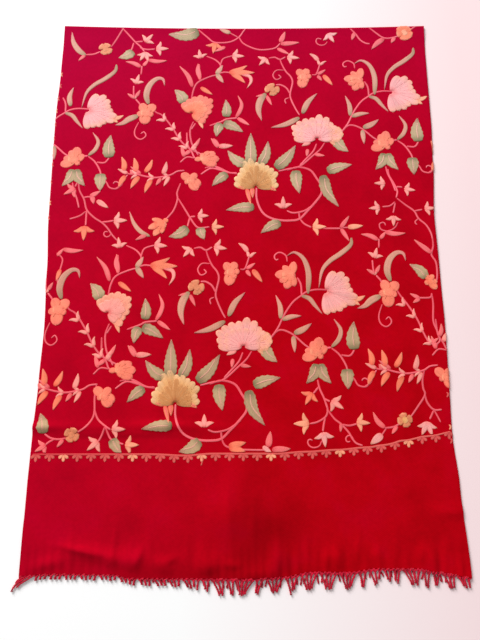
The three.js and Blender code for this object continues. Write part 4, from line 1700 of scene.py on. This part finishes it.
        Leaf((-196, 633), (-181, 651), 8),
        Leaf((-183, 651), (-164, 645), 7),
        Vine(((-197, 678), (-188, 692), (-176, 698)), 3.0),
        Vine(((-210, 693), (-190, 690), (-165, 702), (-150, 703)), 3.1),
    ), left_out=((1, 1),), coral=((0, 0),)),
    Spray("lone star", (1, 0), (
        Star((-222, 451), -100, 25),
        Vine(((-210, 453), (-192, 462), (-182, 476), (-190, 492)), 3.1),
        Leaf((-224, 470), (-220, 507), 8, 0.1),
        Vine(((-183, 476), (-178, 460), (-165, 454), (-158, 453)), 3.0),
        Star((-152, 453), 5, 29),
    ), left_out=((1, 1),)),
    Spray("great fan", (1, 0), (
        Fan((139, 537), 11, 54, 84, 11, BLUSH, None, 0.02, 78),
        Leaf((188, 552), (209, 545), 9, 0.1, PEACH),
        Leaf((186, 552), (199, 562), 8, 0, PEACH),
        Blade(((110, 542), (112, 505), (104, 478), (88, 466), (74, 473)), 10, FERN),
        Posy((73, 507), (10, 0), ((-2, 26), (14, 22), (-12, 13), (-20, 0), (-6, -16), (14, -24)),
            POSY, 0.6),
        Vine(((92, 512), (98, 525), (99, 545))),
        Vine(((75, 484), (73, 472), (62, 466), (53, 472), (55, 480), (60, 478)), 2.8),
        Blade(((98, 545), (112, 550), (122, 563), (134, 578)), 8, FERN),
        Vine(((150, 535), (125, 534), (108, 538), (98, 545), (85, 555), (75, 568), (66, 583),
            (58, 600), (50, 612), (42, 622))),
        Leaf((62, 587), (54, 544), 9, 0.08, FERN),
        Leaf((64, 588), (98, 581), 9, -0.06, FERN),
    )),
)

# The row that the fold cuts, and the row that closes up on the border: each is drawn for its place.
FOLD_ROW = (
    Blade(((-305, 66), (-320, 54), (-331, 36), (-335, 14)), 11, FERN),
    Leaf((-306, 64), (-319, 78), 7),
    Vine(((-306, 64), (-290, 62), (-278, 56))),
    Bloom((-268, 50), 15, 12, 4, TAN, TAN, 0.5, 70),
    Vine(((-258, 46), (-250, 32), (-240, 12), (-235, 2))),
    Vine(((-236, 4), (-222, 20), (-211, 33), (-200, 44), (-192, 56))),
    Vine(((-212, 33), (-196, 31))),
    Star((-187, 27), -50, 28),
    Vine(((-202, 46), (-188, 50), (-172, 49))),
    Star((-162, 48), 0, 30),
    Star((-191, 64), 95, 28, PINK, 2),
    Vine(((-214, 34), (-217, 48), (-220, 54))),
    sage((-214, 54), (-242, 70), 20, -0.1),
    sage((-88, 8), (-147, 15), 27, -0.1),
    Vine(((-89, 4), (-72, 20), (-60, 31), (-45, 33), (-25, 30), (-10, 20), (-2, 8), (3, 1))),
    Leaf((-26, 11), (-48, 3), 9, 0, FERN),
    Vine(((-27, 11), (-12, 20)), 2.6),
    Star((-57, 42), 100, 31, CORAL),
    Vine(((-10, 20), (-3, 33), (10, 42), (25, 48), (40, 49), (60, 45), (70, 34))),
    Leaf((70, 33), (80, 8), 10),
    Leaf((70, 36), (107, 33), 10, 0, ROSE),
    Leaf((64, 46), (87, 60), 8),
    Star((167, 20), 60, 29, BLUSH),
    Vine(((162, 31), (156, 38), (147, 39), (140, 33), (142, 24), (151, 26)), 2.6),
    Vine(((207, 3), (217, 15), (225, 28), (235, 36), (244, 38))),
    Leaf((215, 12), (209, 29), 8),
    Vine(((244, 2), (256, 13), (268, 23), (278, 26), (292, 24), (303, 20))),
    Leaf((272, 26), (246, 51), 11, 0.05),
    Leaf((293, 24), (285, 37), 8),
    Bloom((312, 15), 18, 15, 5, CORAL, PEACH, 0.45, 60),
    Vine(((322, 10), (335, 1))),
)
FOOT_ROW = (
    Leaf((-327, 177), (-324, 136), 10, -0.12, FERN),
    Vine(((-332, 467), (-321, 478), (-323, 495), (-327, 512), (-324, 532)), 2.8),
    Leaf((-323, 497), (-329, 519), 8, 0, CORAL),
    Vine(((-248, 698), (-250, 720), (-249, 742), (-252, 755), (-262, 768), (-275, 777))),
    Bloom((-284, 781), 13, 12, 4, TAN, TAN, 0.5, 70),
    Vine(((-292, 786), (-305, 788), (-318, 786), (-329, 779))),
    Leaf((-297, 788), (-307, 801), 7),
    sage((-331, 779), (-338, 746), 20, 0.05),
    Vine(((-312, 788), (-320, 792), (-326, 797))),
    Star((-331, 801), 150, 25, ROSE),
    Vine(((-249, 740), (-243, 755), (-232, 765), (-220, 773))),
    Star((-211, 772), 0, 28),
    Vine(((-230, 768), (-235, 782), (-240, 792))),
    Star((-246, 796), 140, 29),
    Vine(((-229, 769), (-221, 786), (-212, 792), (-198, 796))),
    sage((-218, 787), (-201, 812), 18, 0.05),
    Star((-188, 797), 0, 28, PEACH),
    sage((-73, 790), (-108, 808), 21, -0.1),
    Vine(((-39, 784), (-34, 796), (-26, 801), (-12, 804), (15, 805), (36, 805))),
    Leaf((-27, 800), (2, 793), 12, 0, CORAL),
    Leaf((-26, 801), (1, 807), 12, 0, CORAL),
    Vine(((34, 806), (39, 800)), 2.6),
    Leaf((38, 801), (42, 775), 11),
    Leaf((44, 805), (75, 803), 11),
    Leaf((29, 799), (45, 812), 8, 0, BLUSH),
    Vine(((124, 702), (119, 708), (114, 714))),
    Star((108, 719), 120, 29, CORAL),
    Vine(((132, 722), (137, 738), (134, 751), (120, 760), (107, 763))),
    Vine(((132, 722), (142, 727))),
    Star((151, 730), 35, 30),
    Star((97, 763), 180, 32, PEACH),
    Vine(((133, 752), (130, 764), (128, 776))),
    Star((130, 785), 85, 30, BLUSH),
    Vine(((126, 790), (121, 799), (110, 801), (103, 795), (105, 788), (111, 790)), 2.5),
    Vine(((137, 740), (148, 755), (158, 763), (170, 776), (175, 785), (182, 794), (193, 798))),
    Vine(((179, 790), (173, 782), (166, 785), (167, 792), (173, 791)), 2.5),
    Leaf((159, 762), (157, 777), 6),
    Vine(((160, 764), (172, 766), (185, 763))),
    Star((192, 761), 5, 28, PEACH),
    Leaf((231, 770), (212, 744), 9, -0.1, ROSE),
    Vine(((229, 770), (245, 768), (256, 762))),
    Vine(((233, 770), (224, 782)), 2.6),
    Leaf((226, 780), (205, 796), 13, 0, BLUSH),
    Leaf((251, 766), (241, 780), 7),
    Bloom((264, 757), 13, 12, 4, TAN, GOLD, 0.5, 30),
    Vine(((303, 672), (298, 690), (298, 705), (300, 716), (287, 735), (274, 752))),
    Vine(((300, 714), (303, 728), (313, 740), (327, 740))),
    Vine(((313, 740), (318, 750), (323, 761)), 2.6),
    Vine(((313, 741), (305, 756))),
    Star((300, 768), 95, 30, BLUSH, 2),
)
# How far from the fold its own row reaches, at places across, and the spots that are left bare.
ROW_DEPTH_X = (-360, -215, -195, -110, -95, 360)
ROW_DEPTH = (84, 84, 62, 62, 48, 48)
BARE = ((-358, 152, 26), (-338, 246, 22), (-354, 300, 18), (-345, 500, 16), (-334, 482, 12))

# Small marks on the rolled long edges, as (x, t): what shows of the stitching that runs over them.
EDGE_MARKS = (
    (-350, 108), (-350, 133), (-352, 160), (-354, 186), (-354, 214), (-354, 243), (-353, 268),
    (-353, 296), (-353, 330), (-352, 372), (-352, 400), (339, 715), (339, 768), (339, 790),
)

# The border line's place across the cloth, above the plain end.
BORDER_X = (-352, -150, -100, -50, 50, 100, 150, 200, 230, 260, 300, 352)
BORDER_T = (812, 812, 814, 811, 811, 808, 805, 801, 797, 790, 783, 774)

# A loose end of the border's thread.
LOOSE_END = ((-70, 815), (-69, 821), (-71, 830))


@dataclass
class Embroidery:
    """All the stitching: the sprays over the field, and the border line with its small flowers."""

    form: ClothForm
    needle: Needle
    squeeze: float = 7.0  # how far the pattern closes up at the border, and over which stretch
    squeezed: Span = (700.0, 830.0)
    low: float = 12.0  # the drawing lies this much lower round one spot near the fold
    low_spot: Span = (-200.0, 150.0)
    low_reach: Span = (130.0, 80.0)
    field_half: float = 400.0
    field_reach: float = 840.0
    fold_gap: float = 4.0
    line_reach: float = 346.0
    line_step: float = 12.0
    line_width: float = 3.6
    picot_reach: float = 340.0
    picot_pitch: float = 22.5
    picot: float = 12.0
    picot_width: float = 5.4
    lobes: tuple[Span, ...] = ((90, 1.0), (38, 0.85), (142, 0.85))  # turn and size
    mark: Spot = (-4.0, 5.0, 3.4)  # an edge mark's start and end from its place, and its width
    mark_deep: float = 3.0
    loose_width: float = 2.4

    def copies(self) -> list[Copy]:
        """The copies of the pattern that can reach the cloth, on both layers."""
        return [(a, b) for a in range(-3, 4) for b in range(-1, 2)]

    def drawn_in(self, patch: Patch, shift: Array) -> Patch:
        """Move a patch to its copy, drawn in at the border and lowered round the low spot."""
        spots = np.asarray(patch.spine, float) + shift
        reach = np.abs(spots[:, 1])
        spots[:, 1] -= np.sign(spots[:, 1]) * self.squeeze * smooth(*self.squeezed, reach)
        away = (spots - np.array(self.low_spot)) / np.array(self.low_reach)
        spots[:, 1] += self.low * np.exp(-(away**2).sum(axis=1))
        return replace(patch, spine=tuple(map(point, spots)))

    def has_room(self, patch: Patch, middle: Array) -> bool:
        """Whether a patch of the field may be sewn.

        Args:
            patch: the patch, in its place.
            middle: the mean of its places.

        Returns:
            False past the cloth, across the fold, in the fold's own row and on a bare spot.
        """
        x, t = middle
        far = abs(x) > self.field_half or abs(t) > self.field_reach
        crosses = t < 0 < self.fold_gap + max(place[1] for place in patch.spine)
        in_row = 0 <= t < np.interp(x, ROW_DEPTH_X, ROW_DEPTH)
        bare = any(math.dist(middle, spot[:2]) < spot[2] for spot in BARE)
        return not (far or crosses or in_row or bare)

    def sew_field(self) -> None:
        """Sew each spray at each copy: those past the fold go on the layer below."""
        for spray in SPRAYS:
            for copy in filter(spray.is_sewn, self.copies()):
                a, b = copy[0] - spray.home[0], copy[1] - spray.home[1]
                for patch in (patch for motif in spray.motifs for patch in motif.patches()):
                    patch = self.drawn_in(patch, a * REPEAT_A + b * REPEAT_B)
                    if copy in spray.coral and patch.work is Work.FLOWERS:
                        patch = replace(patch, thread=WARM.get(patch.thread, patch.thread))
                    middle = np.mean(np.asarray(patch.spine), axis=0)
                    if self.has_room(patch, middle):
                        self.sew_cut(patch, under=bool(middle[1] < 0))
        for patch in (patch for motif in (*FOLD_ROW, *FOOT_ROW) for patch in motif.patches()):
            self.sew_cut(patch)

    def sew_cut(self, patch: Patch, under: bool = False) -> None:
        """Sew what lies in the field of a patch, on the top layer or the one below."""
        for part in self.needle.inside(patch):
            self.needle.sew(part, under=under)

    def edging(self, spine: Path, width: float, thread: Thread, outline: Outline) -> None:
        """Sew one patch of the border, which may lie outside the field.

        Args:
            spine: its places.
            width: its full width.
            thread: its skein.
            outline: its form.
        """
        self.needle.sew(Patch(spine, width, thread, outline, 0.0, Work.BORDER), free=True)

    def sew_border(self) -> None:
        """Sew the line above the plain end, its three-lobed flowers and the long edges' marks."""
        x = np.arange(-self.line_reach, self.line_reach + 1, self.line_step)
        line = tuple(zip(x.tolist(), self.needle.border(x).tolist()))
        self.edging(line, self.line_width, BORDER, Outline.CORD)
        for k, at in enumerate(np.arange(-self.picot_reach, self.picot_reach, self.picot_pitch)):
            root = np.array([at, float(self.needle.border(np.array(at)))])
            thread = PEACH if k % 5 == 2 else BORDER
            for turn, size in self.lobes:
                tip = root + toward(turn) * self.picot * size
                self.edging((point(root), point(tip)), self.picot_width, thread, Outline.PETAL)
        for k, (edge, t) in enumerate(EDGE_MARKS):
            inner = edge - math.copysign(self.mark_deep, edge)
            start, end, width = self.mark
            thread = PEACH if k % 3 == 0 else BORDER
            spine = ((inner, t + start), (edge, t), (inner, t + end))
            self.edging(spine, width, thread, Outline.OVAL)
        self.edging(LOOSE_END, self.loose_width, BORDER, Outline.CORD)

    def build(self, material: bpy.types.Material) -> list[bpy.types.Object]:
        """Sew everything and make a piece of each kind of work."""
        self.sew_field()
        self.sew_border()
        return [parts.build(work.value, material) for work, parts in self.needle.cloths.items()]


# ---------------- fringe


@dataclass
class Fringe:
    """One end's fringe: warp threads in small bunches, each strand twisted from five yarns."""

    form: ClothForm
    name: str
    strands: int
    radius: float  # of a strand
    floor: float  # height that its tip lies on
    share: float  # of the reach and the lean below
    inset: float
    seed: float
    short: float = 0.0
    end_height: float | None = None  # of its root, where that isn't the top layer's
    plies: int = 5
    sides: int = 5
    steps: int = 9
    strip: float = 3.0
    seam: float = 0.3
    overlap: float = 1.5  # how far the roots lie back on the cloth
    least: int = 2  # strands in a bunch
    most: int = 4
    squeeze: float = 0.36  # a bunch's width at its tip, as a share of that at its root
    swing: float = 3.0
    long_reach: float = 20.0  # a bunch this long is drawn together and swings in full
    vary: float = 0.14
    settled: float = 0.45  # share of the length where a strand has come down
    twist_pitch: float = 7.0
    fanned: float = 0.4  # share of the length where the yarns have come together
    coil: float = 0.62  # the yarns' circle, and a yarn's half width, over the strand's radius
    thick: float = 0.58
    pressed: float = 0.55  # the circle's height as a share of its width
    taper: float = 0.3
    stray: float = 0.9
    lowest: float = 0.03  # no yarn goes below this
    reach_x: Row = (-352, -334, -322, -205, -130, -80, -40, 10, 98, 190, 215, 250, 292, 352)
    reach: Row = (17, 13, 4, 5, 8, 10, 19, 18, 19, 18, 13, 17, 18, 11)
    lean: Row = (-19, -13, -2, 1, 3, 2, 4, -2, -2, 1, 1, 1, 1, 4)

    def bunches(self) -> tuple[Array, Array]:
        """First strand and middle of the bunch that each strand belongs to, in strands.

        Bunches follow each other along the edge, each of least to most strands by chance.
        """
        first, middle = np.zeros(self.strands), np.zeros(self.strands)
        start = 0
        while start < self.strands:
            span = self.most - self.least + 1
            size = self.least + int(span * float(chance(start, self.seed + 2)))
            stop = min(start + size, self.strands)
            first[start:stop] = start
            middle[start:stop] = (start + stop) / 2
            start = stop
        return first, middle

    def paths(self) -> tuple[Array, Array, Array]:
        """Where each strand runs: from the woven edge to the table, drawn together in its bunch.

        Returns:
            Arrays of strands by steps: across, along the table, and height.
        """
        form = self.form
        edge_left = float(form.left(np.array(form.length))) - self.inset
        edge_right = float(form.right(np.array(form.length))) - self.inset
        pitch = (edge_left + edge_right) / self.strands
        index = np.arange(self.strands)
        root = -edge_left + (index + 0.5) * pitch
        first, middle = self.bunches()
        bunch = -edge_left + middle * pitch
        reach = between(self.reach_x, self.reach, root) * self.share
        length = reach * (1 + self.vary * signed_chance(index, self.seed))
        loose = np.minimum(1.0, reach / self.long_reach)
        swing = self.swing * loose * signed_chance(first, self.seed + 1)
        close = 1 + (self.squeeze - 1) * loose
        lean = between(self.reach_x, self.lean, bunch) * self.share
        tip = bunch + (root - bunch) * close + swing + lean
        share = np.linspace(0, 1, self.steps)[None, :]
        x = root[:, None] + (tip - root)[:, None] * smooth(0, 1, share)
        edge = np.full_like(root, form.length)
        y = form.ground(root, edge)[:, None] - (self.seam - self.short) + self.overlap
        y = y - (length + self.strip / 2 + self.overlap)[:, None] * share
        if self.end_height is None:
            high = form.face(root, edge) - form.cloth / 2
        else:
            high = np.full_like(root, self.end_height)
        low = self.floor + 0.5 * self.radius
        z = high[:, None] + (low - high)[:, None] * smooth(0, self.settled, share)
        return x, y, z

    def yarns(self) -> Array:
        """Where each yarn runs: round its strand's path, fanned at the root, loose at the tip.

        Returns:
            Rows of steps of x, y, z in mm, one row a yarn.
        """
        x, y, z = self.paths()
        share = np.linspace(0, 1, self.steps)
        pitch = float(np.median(np.diff(x[:, 0])))
        length = (y[:, :1] - y[:, -1:])[..., None]
        ply = np.arange(self.plies)[None, :, None]
        start = chance(np.arange(self.strands)[:, None, None] * 3.1 + ply, self.seed + 5)
        turn = 2 * math.pi * (ply / self.plies + share * length / self.twist_pitch + 0.2 * start)
        fanned = 1 - smooth(0, self.fanned, share)
        spread = fanned + 0.45 * smooth(0.8, 1.0, share)
        ring = self.coil * self.radius * (1 + 0.3 * spread)
        beside = (ply - (self.plies - 1) / 2) * pitch / self.plies * fanned
        stray = self.stray * signed_chance(start * 97, 6) * share**3
        px = x[:, None] + beside + ring * np.cos(turn) + stray
        pz = z[:, None] + self.pressed * ring * np.sin(turn)
        return np.stack([px, y[:, None] + 0 * px, pz], axis=-1).reshape(-1, self.steps, 3)

    def build(self, material: bpy.types.Material) -> bpy.types.Object:
        """Make each yarn a closed tube round its path, thinner at the tip."""
        centre = self.yarns()
        share = np.linspace(0, 1, self.steps)
        thick = self.radius * self.thick * (1 - self.taper * smooth(0.75, 1.0, share))
        way = np.gradient(centre, axis=1)
        way /= np.linalg.norm(way, axis=-1, keepdims=True)
        side = np.cross(way, np.array([0.0, 0.0, 1.0]))
        side /= np.linalg.norm(side, axis=-1, keepdims=True)
        up = np.cross(side, way)
        angle = 2 * math.pi * np.arange(self.sides)[:, None] / self.sides
        out = side[:, :, None] * np.cos(angle) + up[:, :, None] * np.sin(angle)
        points = centre[:, :, None] + thick[None, :, None, None] * out
        points[..., 2] = np.maximum(points[..., 2], self.lowest)
        points[..., :2] += self.form.origin
        index = np.arange(self.steps * self.sides).reshape(self.steps, self.sides)
        around = np.roll(index, -1, axis=1)
        tube = np.stack([index[:-1], around[:-1], around[1:], index[1:]], axis=-1).reshape(-1, 4)
        corner = np.arange(1, self.sides - 1)
        low_cap = np.stack([0 * corner, corner + 1, corner], axis=-1)
        high_cap = np.stack([0 * corner, corner, corner + 1], axis=-1) + index[-1, 0]
        caps = np.concatenate([low_cap, high_cap])
        offset = (np.arange(len(centre)) * index.size)[:, None, None]
        parts = MeshParts()
        parts.add(points.reshape(-1, 3) * MM, tube[None] + offset, caps[None] + offset)
        return parts.build(self.name, material)


# ---------------- floor, light and camera


@dataclass
class Studio:
    """The board below the stole, the soft light from above the far side, and the camera."""

    form: ClothForm
    lens: float = 29.25
    sensor: float = 36.0
    clip: Span = (0.01, 50.0)
    tilt: float = 12.14
    camera_place: Spot = (-7.0, -776.1, 876.0)  # from the middle of the fold
    floor_half: float = 3.0
    key_power: float = 560.0
    key_size: float = 3.4
    key_place: Spot = (-3.2, 4.6, 3.2)
    world_hex: str = "ffffff"
    world_strength: float = 0.46

    def camera(self) -> None:
        """Put the camera over the near half of the stole, tilted a little to its far end."""
        data = bpy.data.cameras.new("camera")
        data.lens, data.sensor_width = self.lens, self.sensor
        data.clip_start, data.clip_end = self.clip
        camera = bpy.data.objects.new("camera", data)
        low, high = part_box("upper_layer")
        across = (low.x + high.x) / 2 / MM + self.camera_place[0]
        along = self.form.origin[1] + self.camera_place[1]
        camera.location = (across * MM, along * MM, self.camera_place[2] * MM)
        camera.rotation_euler = (math.radians(self.tilt), 0.0, 0.0)
        bpy.context.scene.collection.objects.link(camera)
        bpy.context.scene.camera = camera

    def floor(self) -> None:
        """Lay the board at the stole's own ground."""
        line = np.linspace(-self.floor_half, self.floor_half, 3)
        x, y = np.meshgrid(line, line, indexing="ij")
        parts = MeshParts()
        parts.add(np.stack([x, y, np.zeros_like(x)], axis=-1), grid_quads(3, 3, flip=True))
        parts.build("floor", MattBoard().build())

    def light(self) -> None:
        """Hang one broad soft lamp beyond the fold and let a white room fill in."""
        data = bpy.data.lights.new("key", "AREA")
        data.shape, data.size, data.energy = "DISK", self.key_size, self.key_power
        lamp = bpy.data.objects.new("key", data)
        lamp.location = self.key_place
        aim = math.atan2(self.key_place[1], self.key_place[2])
        lean = math.atan2(self.key_place[0], math.hypot(self.key_place[1], self.key_place[2]))
        lamp.rotation_euler = (-aim, lean, 0.0)
        bpy.context.scene.collection.objects.link(lamp)
        world = bpy.data.worlds.new("room")
        world.use_nodes = True
        tree = world.node_tree
        tree.nodes.clear()
        inputs = {"Color": (*linear(self.world_hex), 1.0), "Strength": self.world_strength}
        glow = node(tree, "ShaderNodeBackground", inputs=inputs)
        node(tree, "ShaderNodeOutputWorld", inputs={"Surface": glow.outputs["Background"]})
        bpy.context.scene.world = world
        bpy.context.scene.view_settings.view_transform = "Standard"


# ---------------- assembly


def main() -> None:
    """Build the stole round the frame, in order, hang each piece on the root and hide the parts it
    replaces.
    """
    logging.basicConfig(level=logging.INFO, format="%(name)s: %(message)s")
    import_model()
    form = ClothForm()
    form.settle()
    studio = Studio(form)
    studio.camera()
    studio.floor()
    studio.light()

    cloth = Stole(form).build(PashminaTwill().build())
    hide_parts("upper_layer", "under_layer")

    stitching = Embroidery(form, Needle(form)).build(CrewelThread().build())
    for piece in stitching:
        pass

    wool = FringeWool().build()
    upper = Fringe(
        form, "fringe_upper", strands=92, radius=1.7, floor=1.45, share=1.12, inset=1.0, seed=1
    ).build(wool)
    under = Fringe(
        form, "fringe_under", strands=66, radius=1.4, floor=0.15, share=0.85, inset=1.5, seed=7,
        short=3.0, end_height=0.75,
    ).build(wool)
    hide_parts("upper_fringe")
    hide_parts("under_fringe")
    for piece in (cloth, upper, under, *stitching):
        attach(piece, ROOT)
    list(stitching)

    LOG.info("%d pieces round the frame", 3 + len(stitching))


if __name__ == "__main__":
    main()
